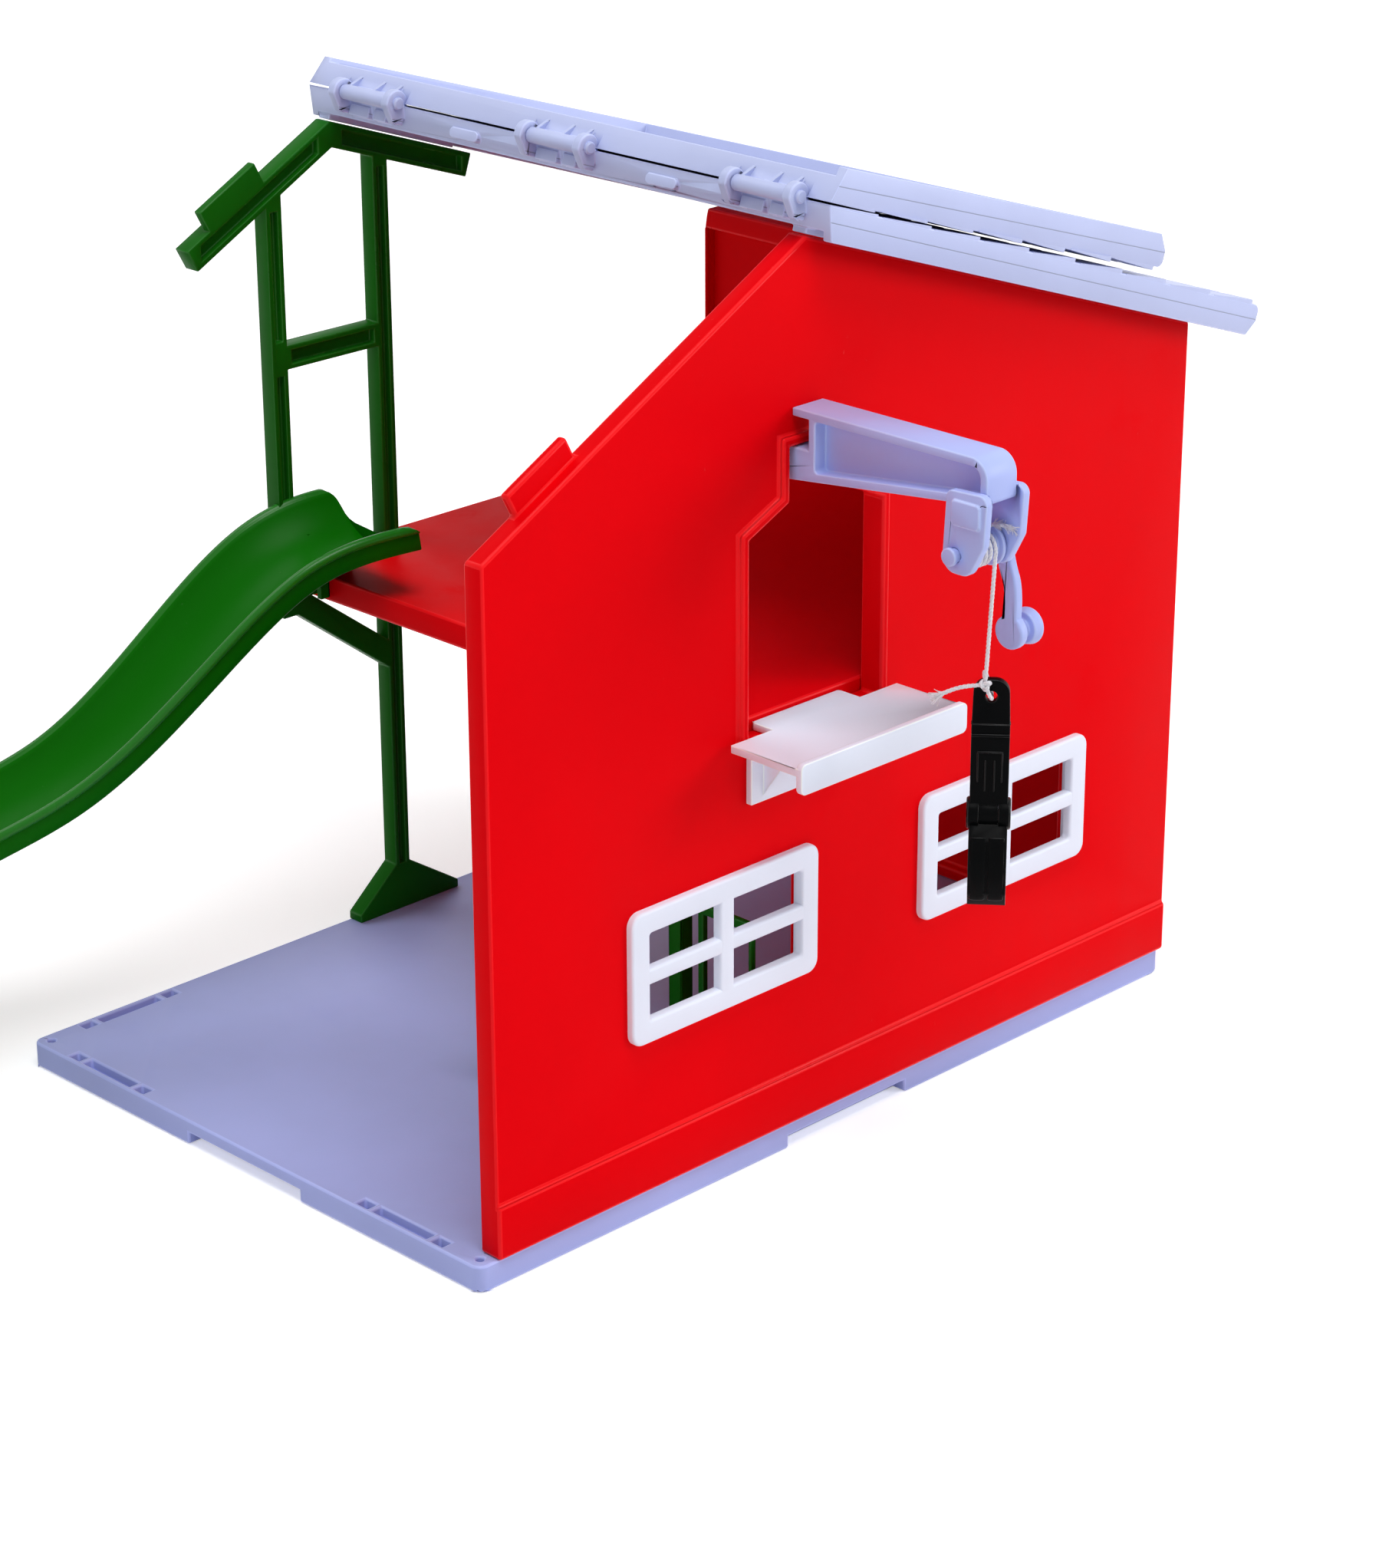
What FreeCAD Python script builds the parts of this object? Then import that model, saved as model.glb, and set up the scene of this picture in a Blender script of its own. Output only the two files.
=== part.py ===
import FreeCAD, Part
import math
import os
import re

# Toy stable: a base plate, a gable wall and a side wall, a loft with a curved slide, an open end
# frame, a roof whose left leaf folds over the right one, and a hand winch with a gripper.
# Millimetres, +Z up. Pieces are drawn from the near left corner of the base, X along the gable
# wall and Y away from it, and each Placement moves that corner so the base is centred.

V = FreeCAD.Vector
doc = FreeCAD.newDocument("toy_stable")
sheet = doc.addObject("Spreadsheet::Sheet", "Sizes")

SIZES = {
    # base plate
    "plan_width": 220, "plan_depth": 151.3, "base_thick": 5.9, "base_corner": 2.5, "base_skin": 2.2,
    "base_rim": 7, "base_rib": 1.8, "slot_length": 27, "slot_width": 2.6, "slot_depth": 2.6,
    "slot_inset": 1.2, "slot_from_corner": 12.5, "slot_end": 3.6, "slot_end_depth": 4.2,
    "slot_bar": 1.4, "recess_length": 37.6, "recess_height": 2.8, "recess_reach": 3.4,
    "dowel_radius": 0.9, "dowel_inset": 3.2,
    # walls
    "wall_depth": 5, "wall_left": 5.2, "wall_skin": 2.2, "wall_rim": 3, "opening_rim": 2.4, "plinth_height": 12.1,
    "plinth_proud": 0.8, "fit_clear": 0.1, "seat_height": 2.4, "seat_reach": 4, "side_wall_clear": 1,
    # roof lines shared by the walls, the end frame and both roof leaves
    "ridge_x": 92.4, "ridge_z": 211.3, "right_pitch": 18.75, "left_pitch": 28.2, "right_seat": 7.2,
    "left_seat": 8.3, "clip_height": 5.3, "gable_clip": 67.4, "frame_clip": 19.7, "clip_length": 18, "clip_thick": 2.2,
    "seat_clear": 0.3, "rib_inset": 0.6,
    # loft door in the gable wall
    "door_left": 77.3, "door_right": 117.5, "door_sill": 98.6, "shoulder_height": 5.4, "neck_height": 11.8,
    "neck_left": 89.1, "neck_right": 105.8, "neck_drop": 51, "trim_width": 2.2, "trim_proud": 1.3,
    # windows
    "window_height": 30, "window_foot": 40.9, "window_left_x": 42.6, "window_between": 33.4,
    "window_from_right": 32.6, "window_stile": 5.2, "window_muntin": 4.2, "window_bar": 3.6,
    "window_proud": 1.7, "window_overlap": 2.2, "window_corner": 3, "pane_corner": 0.8,
    # loft
    "loft_left": 80, "loft_top": 101.5, "loft_thick": 6, "loft_skin": 2.4, "loft_rim": 2.4,
    "loft_past_frame": 0.7,
    # end frame
    "frame_depth": 4.5, "post_width": 4.4, "left_post_x": 75.3, "right_post_x": 106.7, "arm_depth": 5.6,
    "left_arm_end": 52.8, "right_arm_end": 136.8, "crossbar_drop": 62.9, "crossbar_height": 5.6,
    "brace_foot": 69.3, "brace_depth": 7, "brace_head": 89.4, "channel_wall": 1.2, "channel_depth": 1.8,
    "foot_left": 95, "foot_right": 126.6, "foot_thick": 2, "gusset_height": 12,
    # roof leaves
    "roof_front": 6.7, "roof_back": 1.7, "leaf_gap": 0.15, "leaf_depth": 6.4, "leaf_skin": 2,
    "leaf_rim": 2.4, "ridge_rise": 1, "eave_round": 1.8, "eave_cut": 2.6, "course_length": 21.4, "course_step": 0.7, "right_leaf_length": 153,
    "left_leaf_length": 113.5, "ridge_clear": 1.9, "ridge_bevel": 3, "fold_wedge": 1.3,
    "hinge_front": 10, "hinge_back": 20.3, "hinge_length": 20, "ear_radius": 2.9, "ear_thick": 2.2,
    "ear_neck": 4.5, "barrel_radius": 1.7, "pin_radius": 0.9, "pin_clear": 0.06, "end_clear": 0.25,
    "press_clear": 0.03, "notch_clear": 0.4, "bump_length": 9, "bump_height": 2.4, "bump_proud": 0.6,
    "block_proud": 0.7, "block_top": 2.1, "block_foot": 4.7, "block_inset": 2.6, "long_block": 6.6, "short_block": 4.2,
    "block_between": 1.6,
    # loading ledge under the loft door
    "ledge_left": 71.5, "ledge_right": 122.3, "ledge_thick": 1.7, "ledge_reach": 21.5, "tongue_inset": 6.7,
    "lip_height": 6.8, "lip_thick": 1.6, "lip_rise": 1.1, "bracket_height": 13.4,
    "bracket_thick": 1.6, "gusset_inset": 9.5, "gusset_reach": 9,
    # slide
    "slide_head_x": 88, "slide_clear": 0.6, "rim_rise": 17.1, "slide_half": 17.6, "rim_half": 16.2,
    "trough_depth": 12, "trough_skin": 1.5, "skirt_drop": 8.7, "skirt_skin": 1.6, "rim_lip": 0.8,
    "lip_drop": 1.5, "slide_level": 4, "crest_radius": 58, "slide_slope": 41, "foot_radius": 120,
    "bend_start": 12, "bend_radius": 72, "bend_angle": 38, "bend_between": 40, "hook_offset": 9.5,
    "hook_thick": 2.2, "hook_drop": 5, "hook_wall": 2.4, "hook_rise_in": 1.3,
    # crane arm
    "arm_left": 90.6, "arm_right": 99.6, "arm_drop": 43, "arm_reach": 52.3, "arm_end_height": 9.3,
    "arm_root_height": 7.4, "arm_flange": 1.8, "arm_nose": 4.4, "arm_recess": 3.2, "notch_depth": 4.6,
    "hook_rise": 3.8, "hook_plate": 2.4, "hook_clear": 0.4,
    # winch
    "axle_y": -46, "axle_drop": 63.2, "axle_radius": 1.5, "axle_clear": 0.06, "cheek_thick": 1.9,
    "cheek_gap": 0.1, "cheek_pad": 0.6, "cheek_overlap": 2.3, "boss_radius": 1.9, "boss_length": 1, "drum_radius": 3,
    "drum_flange": 4.4, "flange_thick": 0.8, "crank_reach": 19.3, "crank_tilt": 7.7, "crank_thick": 2.2,
    "crank_hub": 2.7, "crank_lobe": 3.6, "crank_waist": 1.5, "crank_bend": -2.2, "peg_radius": 1.2, "knob_neck": 1.9, "knob_neck_length": 2.2,
    "knob_radius": 4, "knob_length": 3.6, "crank_clear": 0.3,
    # string
    "string_radius": 0.45, "string_pitch": 1.4, "string_turns": 3.5, "winding_start": 92.1,
    "winding_clear": 0.05, "knot_radius": 1.35, "loop_radius": 2.6,
    # gripper
    "gripper_turn": -50, "gripper_width": 7.8, "tab_drop": 27.1, "tab_length": 10.5, "tab_hole": 1.2, "tab_hole_drop": 3.6,
    "tab_thick": 2, "lever_length": 29.1, "lever_thick": 2.8, "barrel_outer": 2.65,
    "pivot_radius": 0.8, "jaw_length": 19.5, "jaw_thick": 1.9, "jaw_bow": 7, "knuckle_width": 2,
    "knuckle_clear": 0.15,
    # stall fence
    "fence_x": 89, "fence_y": 31, "fence_height": 47, "fence_post": 4, "fence_rail": 2.2,
    "fence_bar": 1.6, "fence_pitch": 8.6, "fence_low_rail": 5, "fence_long": 44, "fence_turn": 135,
    "fence_wall_gap": 3,
}

# Places that follow from the sizes above, so that what belongs together stays together.
PLACES = {
    "window_width": "=(plan_width - window_left_x - window_between - window_from_right) / 2",
    "window_right_x": "=window_left_x + window_width + window_between",
    "side_wall_top": "=ridge_z - right_seat / cos(right_pitch) - (plan_width - ridge_x) * tan(right_pitch)"
                     " - side_wall_clear",
    "neck_top": "=ridge_z - neck_drop",
    "neck_foot": "=neck_top - neck_height",
    "door_shoulder": "=neck_foot - shoulder_height",
    "crossbar_foot": "=ridge_z - crossbar_drop",
    "hinge_middle": "=(plan_depth - hinge_back + hinge_front) / 2",
    "hinge_pitch": "=(plan_depth - hinge_back - hinge_front) / 2",
    "slide_y": "=plan_depth - frame_depth - slide_half - rim_lip - slide_clear",
    "arm_top": "=ridge_z - arm_drop",
    "arm_end_foot": "=arm_top - arm_end_height",
    "arm_root_foot": "=neck_top - arm_root_height",
    "axle_z": "=ridge_z - axle_drop",
    "tab_top": "=axle_z - tab_drop",
    "lever_step": "=tab_top - tab_length",
    "pivot_z": "=tab_top - lever_length",
    "jaw_foot": "=pivot_z - jaw_length",
}

NAMES = {**SIZES, **PLACES}
for row, (name, value) in enumerate(NAMES.items(), 1):
    sheet.set(f"A{row}", name)
    sheet.set(f"B{row}", str(value))
    sheet.setAlias(f"B{row}", name)
doc.recompute()


class SheetValues:
    """Reads a size from the sheet by its name."""

    def __getattr__(self, name):
        return float(sheet.get(name))


z = SheetValues()


def bind(target, prop, expression):
    """Ties a property to an expression of the sheet's names."""
    named = re.sub(r"[a-z_]\w*", lambda m: "Sizes." + m[0] if m[0] in NAMES else m[0], expression)
    target.setExpression(prop, named)


def centred(target, x="0", y="0", height="0"):
    """Places a piece at a point counted from the near left corner of the base."""
    bind(target, "Placement.Base.x", f"{x} - plan_width / 2")
    bind(target, "Placement.Base.y", f"{y} - plan_depth / 2")
    bind(target, "Placement.Base.z", height)
    return target


def new_body(label, x="0", y="0", height="0"):
    return centred(doc.addObject("PartDesign::Body", label), x, y, height)


def new_sketch(body, role, offset="0"):
    """A sketch on one of the body's own planes, moved along the plane's normal."""
    plane = next(item for item in body.Origin.OriginFeatures if item.Role == role)
    sketch = body.newObject("Sketcher::SketchObject", body.Label + "_sketch")
    sketch.AttachmentSupport = [(plane, "")]
    sketch.MapMode = "FlatFace"
    bind(sketch, "AttachmentOffset.Base.z", offset)
    return sketch


def rounded_edges(points, radii):
    """Lines and corner arcs of a closed outline; radii is one number or one for each point."""
    count = len(points)
    spots = [V(p[0], p[1], 0) for p in points]
    radii = radii if isinstance(radii, (list, tuple)) else [radii] * count
    corners = []
    for i, spot in enumerate(spots):
        back = (spots[i - 1] - spot).normalize()
        ahead = (spots[(i + 1) % count] - spot).normalize()
        half = math.acos(max(-1, min(1, back.dot(ahead)))) / 2
        trim = radii[i] / math.tan(half)
        bisector = back + ahead
        middle = spot
        if radii[i] > 0:
            bisector.normalize()
            middle = spot + bisector * (radii[i] / math.sin(half) - radii[i])
        corners.append((spot + back * trim, middle, spot + ahead * trim, radii[i]))
    edges = []
    for i, (start, middle, end, radius) in enumerate(corners):
        if radius > 0:
            edges.append(Part.Arc(start, middle, end))
        following = corners[(i + 1) % count][0]
        if (following - end).Length > 1e-6:
            edges.append(Part.LineSegment(end, following))
    return edges


def outline(sketch, points, radii=0):
    for edge in rounded_edges(points, radii):
        sketch.addGeometry(edge)
    return sketch


def box_points(x0, y0, x1, y1):
    return [(x0, y0), (x1, y0), (x1, y1), (x0, y1)]


def circle(sketch, x, y, radius):
    sketch.addGeometry(Part.Circle(V(x, y, 0), V(0, 0, 1), radius))
    return sketch


def pad(body, sketch, length, reverse=False):
    feature = body.newObject("PartDesign::Pad", body.Label + "_pad")
    feature.Profile = sketch
    feature.Reversed = reverse
    bind(feature, "Length", length)
    doc.recompute()
    return feature


def pocket(body, sketch, depth, reverse=False):
    """Cuts against the sketch's normal, or along it when reversed, and checks that it removed something."""
    before = body.Shape.Volume
    feature = body.newObject("PartDesign::Pocket", body.Label + "_pocket")
    feature.Profile = sketch
    feature.Reversed = reverse
    bind(feature, "Length", depth)
    doc.recompute()
    if body.Shape.Volume > before - 1e-6:
        raise RuntimeError(f"{body.Label}: a pocket removed nothing")
    return feature


def slope(angle):
    return math.tan(math.radians(angle))


def left_roof_z(x):
    """Height of the wall's left slope, which lies left_seat under the ridge axis."""
    return z.ridge_z - z.left_seat / math.cos(math.radians(z.left_pitch)) - (z.ridge_x - x) * slope(z.left_pitch)


def right_roof_z(x):
    return z.ridge_z - z.right_seat / math.cos(math.radians(z.right_pitch)) - (x - z.ridge_x) * slope(z.right_pitch)


def apex_x():
    rise = right_roof_z(0) - left_roof_z(0)
    return rise / (slope(z.left_pitch) + slope(z.right_pitch))


def slot_starts(length):
    """Where the two slots along an edge begin."""
    return [z.slot_from_corner, length - z.slot_from_corner - z.slot_length]


def base_plate():
    body = new_body("base_plate")
    plan = box_points(0, 0, z.plan_width, z.plan_depth)
    pad(body, outline(new_sketch(body, "XY_Plane"), plan, z.base_corner), "base_thick")

    def edge_boxes(first, last, inset, width):
        """The same stretch on all four edges, counted from each corner."""
        boxes = []
        for start in slot_starts(z.plan_depth):
            a, b = start + first, start + last
            boxes.append(box_points(inset, a, inset + width, b))
            boxes.append(box_points(z.plan_width - inset - width, a, z.plan_width - inset, b))
        for start in slot_starts(z.plan_width):
            a, b = start + first, start + last
            boxes.append(box_points(a, inset, b, inset + width))
            boxes.append(box_points(a, z.plan_depth - inset - width, b, z.plan_depth - inset))
        return boxes

    long_slots = new_sketch(body, "XY_Plane", "base_thick")
    for points in edge_boxes(z.slot_end + z.slot_bar, z.slot_length - z.slot_end - z.slot_bar,
                             z.slot_inset, z.slot_width):
        outline(long_slots, points)
    pocket(body, long_slots, "slot_depth")
    end_slots = new_sketch(body, "XY_Plane", "base_thick")
    for points in (edge_boxes(0, z.slot_end, z.slot_inset, z.slot_width)
                   + edge_boxes(z.slot_length - z.slot_end, z.slot_length, z.slot_inset, z.slot_width)):
        outline(end_slots, points)
    pocket(body, end_slots, "slot_end_depth")

    dowels = new_sketch(body, "XY_Plane", "base_thick")
    for x in (z.dowel_inset, z.plan_width - z.dowel_inset):
        for y in (z.dowel_inset, z.plan_depth - z.dowel_inset):
            circle(dowels, x, y, z.dowel_radius)
    pocket(body, dowels, "slot_depth")

    middle_x, middle_y, half = z.plan_width / 2, z.plan_depth / 2, z.recess_length / 2
    grips = new_sketch(body, "XY_Plane")
    outline(grips, box_points(-1, middle_y - half, z.recess_reach, middle_y + half))
    outline(grips, box_points(z.plan_width - z.recess_reach, middle_y - half, z.plan_width + 1, middle_y + half))
    outline(grips, box_points(middle_x - half, -1, middle_x + half, z.recess_reach))
    outline(grips, box_points(middle_x - half, z.plan_depth - z.recess_reach, middle_x + half, z.plan_depth + 1))
    pocket(body, grips, "recess_height", reverse=True)

    hollows = new_sketch(body, "XY_Plane")
    columns, rows = 4, 3
    cell_x = (z.plan_width - 2 * z.base_rim + z.base_rib) / columns
    cell_y = (z.plan_depth - 2 * z.base_rim + z.base_rib) / rows
    for i in range(columns):
        for j in range(rows):
            x0 = z.base_rim + i * cell_x
            y0 = z.base_rim + j * cell_y
            outline(hollows, box_points(x0, y0, x0 + cell_x - z.base_rib, y0 + cell_y - z.base_rib))
    pocket(body, hollows, "base_thick - base_skin", reverse=True)
    return body


def gable_outline(inset=0):
    """The gable wall seen from the front; an inset draws it in by that much on every side."""
    lift_left = inset / math.cos(math.radians(z.left_pitch))
    lift_right = inset / math.cos(math.radians(z.right_pitch))
    x = apex_x() + (lift_left - lift_right) / (slope(z.left_pitch) + slope(z.right_pitch))
    left = z.wall_left + inset
    return [(left, z.base_thick + inset), (z.plan_width - inset, z.base_thick + inset),
            (z.plan_width - inset, right_roof_z(z.plan_width - inset) - lift_right),
            (x, left_roof_z(x) - lift_left), (left, left_roof_z(left) - lift_left)]


def door_outline(grow=0):
    """Loft door with a narrow neck above sloping shoulders, grown outwards by an even margin."""
    rise = z.neck_foot - z.door_shoulder
    left_run = z.neck_left - z.door_left
    right_run = z.door_right - z.neck_right
    up_left = grow * (math.hypot(rise, left_run) - rise) / left_run
    up_right = grow * (math.hypot(rise, right_run) - rise) / right_run
    return [(z.door_left - grow, z.door_sill - grow), (z.door_right + grow, z.door_sill - grow),
            (z.door_right + grow, z.door_shoulder + up_right), (z.neck_right + grow, z.neck_foot + up_right),
            (z.neck_right + grow, z.neck_top + grow), (z.neck_left - grow, z.neck_top + grow),
            (z.neck_left - grow, z.neck_foot + up_left), (z.door_left - grow, z.door_shoulder + up_left)]


def window_hole(x, grow=0):
    """Opening for a window frame, which overlaps the wall around it."""
    margin = z.window_overlap - grow
    return box_points(x + margin, z.window_foot + margin,
                      x + z.window_width - margin, z.window_foot + z.window_height - margin)


def clip_points(from_ridge):
    """Roof clip that stands on the left slope, as a slab along the slope."""
    along = V(math.cos(math.radians(z.left_pitch)), math.sin(math.radians(z.left_pitch)), 0)
    out = V(-along.y, along.x, 0)
    start = V(z.ridge_x, left_roof_z(z.ridge_x), 0) - along * (from_ridge + z.clip_length)
    end = start + along * z.clip_length
    sunk = out * -1.5
    return [start + sunk, end + sunk, end + out * z.clip_height, start + out * z.clip_height]


def wall_tongues(body, role, offset, starts):
    """Tongues under a wall that drop into the long slots of the base."""
    sketch = new_sketch(body, role, offset)
    margin = z.slot_end + z.slot_bar + z.fit_clear
    for start in starts:
        outline(sketch, box_points(start + margin, z.base_thick - z.slot_depth + z.fit_clear,
                                   start + z.slot_length - margin, z.base_thick + z.wall_rim / 2))
    return sketch


def gable_wall():
    body = new_body("gable_wall")
    face = new_sketch(body, "XZ_Plane")
    outline(face, gable_outline())
    outline(face, door_outline())
    outline(face, window_hole(z.window_left_x))
    outline(face, window_hole(z.window_right_x))
    pad(body, face, "wall_depth", reverse=True)

    plinth = new_sketch(body, "XZ_Plane")
    outline(plinth, box_points(z.wall_left, z.base_thick, z.plan_width, z.base_thick + z.plinth_height))
    pad(body, plinth, "plinth_proud")

    trim = new_sketch(body, "XZ_Plane")
    outer, inner = door_outline(z.trim_width), door_outline()
    outer[0], outer[1] = (outer[0][0], z.door_sill), (outer[1][0], z.door_sill)
    outline(trim, outer[1:] + outer[:1] + inner[:1] + inner[:0:-1])
    pad(body, trim, "trim_proud")

    clip = new_sketch(body, "XZ_Plane", "clip_thick - wall_depth")
    outline(clip, clip_points(z.gable_clip))
    pad(body, clip, "clip_thick", reverse=True)

    hollow = new_sketch(body, "XZ_Plane", "-wall_depth")
    outline(hollow, gable_outline(z.wall_rim))
    outline(hollow, door_outline(z.opening_rim))
    outline(hollow, window_hole(z.window_left_x, z.opening_rim))
    outline(hollow, window_hole(z.window_right_x, z.opening_rim))
    pocket(body, hollow, "wall_depth - wall_skin", reverse=True)

    seat = new_sketch(body, "XZ_Plane", "-wall_skin")
    seat_top = z.loft_top - z.loft_thick
    outline(seat, box_points(z.loft_left, seat_top - z.seat_height, z.plan_width - z.wall_depth - z.fit_clear,
                             seat_top))
    pad(body, seat, "wall_depth - wall_skin + seat_reach", reverse=True)

    tongues = wall_tongues(body, "XZ_Plane", "-slot_inset - fit_clear", slot_starts(z.plan_width))
    pad(body, tongues, "slot_width - 2 * fit_clear", reverse=True)
    return body


def side_wall():
    body = new_body("side_wall")
    front = z.wall_depth + z.fit_clear
    face = new_sketch(body, "YZ_Plane", "plan_width")
    outline(face, box_points(front, z.base_thick, z.plan_depth, z.side_wall_top))
    pad(body, face, "wall_depth", reverse=True)

    plinth = new_sketch(body, "YZ_Plane", "plan_width")
    outline(plinth, box_points(front, z.base_thick, z.plan_depth, z.base_thick + z.plinth_height))
    pad(body, plinth, "plinth_proud")

    hollow = new_sketch(body, "YZ_Plane", "plan_width - wall_depth")
    seat_top = z.loft_top - z.loft_thick
    for foot, head in ((z.base_thick + z.wall_rim, seat_top - z.seat_height), (seat_top, z.side_wall_top - z.wall_rim)):
        outline(hollow, box_points(front + z.wall_rim, foot, z.plan_depth - z.wall_rim, head))
    pocket(body, hollow, "wall_depth - wall_skin", reverse=True)

    seat = new_sketch(body, "YZ_Plane", "plan_width - wall_depth")
    outline(seat, box_points(front + z.seat_reach + z.fit_clear, seat_top - z.seat_height,
                             z.plan_depth - z.wall_rim, seat_top))
    pad(body, seat, "seat_reach", reverse=True)

    tongues = wall_tongues(body, "YZ_Plane", "plan_width - slot_inset - fit_clear", slot_starts(z.plan_depth))
    pad(body, tongues, "slot_width - 2 * fit_clear", reverse=True)
    return body


def loft_floor():
    body = new_body("loft_floor")
    right = z.plan_width - z.wall_depth - z.fit_clear
    front = z.wall_depth + z.fit_clear
    back = z.plan_depth + z.loft_past_frame
    notch_left = z.right_post_x - 2 * z.fit_clear
    notch_right = z.right_post_x + z.post_width + 2 * z.fit_clear
    notch_front = z.plan_depth - z.frame_depth - 2 * z.fit_clear
    plan = [(z.loft_left, front), (right, front), (right, back), (notch_right, back), (notch_right, notch_front),
            (notch_left, notch_front), (notch_left, back), (z.loft_left, back)]
    slab = new_sketch(body, "XY_Plane", "loft_top")
    pad(body, outline(slab, plan), "loft_thick", reverse=True)

    hollow = new_sketch(body, "XY_Plane", "loft_top - loft_thick")
    hollow_front = front + z.seat_reach + z.loft_rim
    hollow_back = notch_front - z.loft_rim
    hollow_right = right - z.seat_reach - z.loft_rim
    middle = (z.loft_left + hollow_right) / 2
    for x0, x1 in ((z.loft_left + z.loft_rim, middle - z.loft_rim / 2), (middle + z.loft_rim / 2, hollow_right)):
        outline(hollow, box_points(x0, hollow_front, x1, hollow_back))
    pocket(body, hollow, "loft_thick - loft_skin", reverse=True)
    return body


def bar_points(start, end, width):
    """Four corners of a straight member between two points, with its width to the right of its run."""
    run = V(end[0] - start[0], end[1] - start[1], 0)
    side = V(run.y, -run.x, 0).normalize() * width
    first, last = V(start[0], start[1], 0), V(end[0], end[1], 0)
    return [first, last, last + side, first + side]


def end_frame():
    body = new_body("end_frame")
    peak = (apex_x(), left_roof_z(apex_x()))
    under_left = z.arm_depth / math.cos(math.radians(z.left_pitch))
    under_right = z.arm_depth / math.cos(math.radians(z.right_pitch))
    left_end = (z.left_arm_end, left_roof_z(z.left_arm_end))
    right_end = (z.right_arm_end, right_roof_z(z.right_arm_end))
    meet_x = peak[0] + (under_left - under_right) / (slope(z.left_pitch) + slope(z.right_pitch))
    meet = (meet_x, left_roof_z(meet_x) - under_left)
    lean_left = z.arm_depth * math.sin(math.radians(z.left_pitch))
    lean_right = z.arm_depth * math.sin(math.radians(z.right_pitch))
    left_tip = (left_end[0] + lean_left, left_end[1] - z.arm_depth * math.cos(math.radians(z.left_pitch)))
    right_tip = (right_end[0] - lean_right, right_end[1] - z.arm_depth * math.cos(math.radians(z.right_pitch)))
    left_post_right = z.left_post_x + z.post_width
    right_post_right = z.right_post_x + z.post_width
    loft_foot = z.loft_top - z.loft_thick
    brace_slope = (z.brace_head - z.brace_foot) / (z.right_post_x - left_post_right)
    brace_flat = left_post_right + (z.brace_head + z.brace_depth - loft_foot) / brace_slope
    members = [
        [left_end, peak, meet, left_tip],
        [peak, right_end, right_tip, meet],
        box_points(z.left_post_x, z.brace_head, left_post_right, left_roof_z(z.left_post_x) - under_left / 2),
        box_points(z.right_post_x, z.base_thick, right_post_right, right_roof_z(right_post_right) - under_right / 2),
        box_points(left_post_right - z.channel_wall, z.crossbar_foot, z.right_post_x + z.channel_wall,
                   z.crossbar_foot + z.crossbar_height),
        [(z.left_post_x, loft_foot), (max(brace_flat, left_post_right), loft_foot),
         (z.right_post_x + z.channel_wall, z.brace_foot + z.brace_depth - brace_slope * z.channel_wall),
         (z.right_post_x + z.channel_wall, z.brace_foot - brace_slope * z.channel_wall),
         (left_post_right, z.brace_head), (z.left_post_x, z.brace_head)],
        [(z.foot_left, z.base_thick), (z.foot_right, z.base_thick), (z.foot_right, z.base_thick + z.foot_thick),
         (right_post_right, z.base_thick + z.gusset_height), (z.right_post_x, z.base_thick + z.gusset_height),
         (z.foot_left, z.base_thick + z.foot_thick)],
    ]
    for points in members:
        sketch = new_sketch(body, "XZ_Plane", "frame_depth - plan_depth")
        pad(body, outline(sketch, points), "frame_depth", reverse=True)
    clip = new_sketch(body, "XZ_Plane", "frame_depth - plan_depth")
    pad(body, outline(clip, clip_points(z.frame_clip)), "clip_thick", reverse=True)

    wall = z.channel_wall
    channel = new_sketch(body, "XZ_Plane", "frame_depth - plan_depth")
    outline(channel, box_points(z.left_post_x + wall, loft_foot + wall, left_post_right - wall,
                                z.crossbar_foot - wall))
    outline(channel, box_points(z.left_post_x + wall, z.crossbar_foot + z.crossbar_height + wall,
                                left_post_right - wall, left_roof_z(z.left_post_x) - under_left - wall))
    outline(channel, box_points(z.right_post_x + wall, z.base_thick + z.gusset_height, right_post_right - wall,
                                right_roof_z(right_post_right) - under_right - wall))
    outline(channel, box_points(left_post_right + wall, z.crossbar_foot + wall, z.right_post_x - wall,
                                z.crossbar_foot + z.crossbar_height - wall))

    def drop(x, by):
        return (x, left_roof_z(x) - by / math.cos(math.radians(z.left_pitch)))

    def fall(x, by):
        return (x, right_roof_z(x) - by / math.cos(math.radians(z.right_pitch)))

    low = z.arm_depth - wall
    outline(channel, [drop(left_tip[0] + wall, wall), drop(peak[0] - 3 * wall, wall),
                      drop(peak[0] - 3 * wall, low), drop(left_tip[0] + wall, low)])
    outline(channel, [fall(peak[0] + 3 * wall, wall), fall(right_tip[0] - wall, wall),
                      fall(right_tip[0] - wall, low), fall(peak[0] + 3 * wall, low)])
    pocket(body, channel, "channel_depth")
    return body


def hinge_places():
    """Y of the three hinge groups, counted from the middle one."""
    return [f"{i} * hinge_pitch" for i in (-1, 0, 1)]


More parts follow.
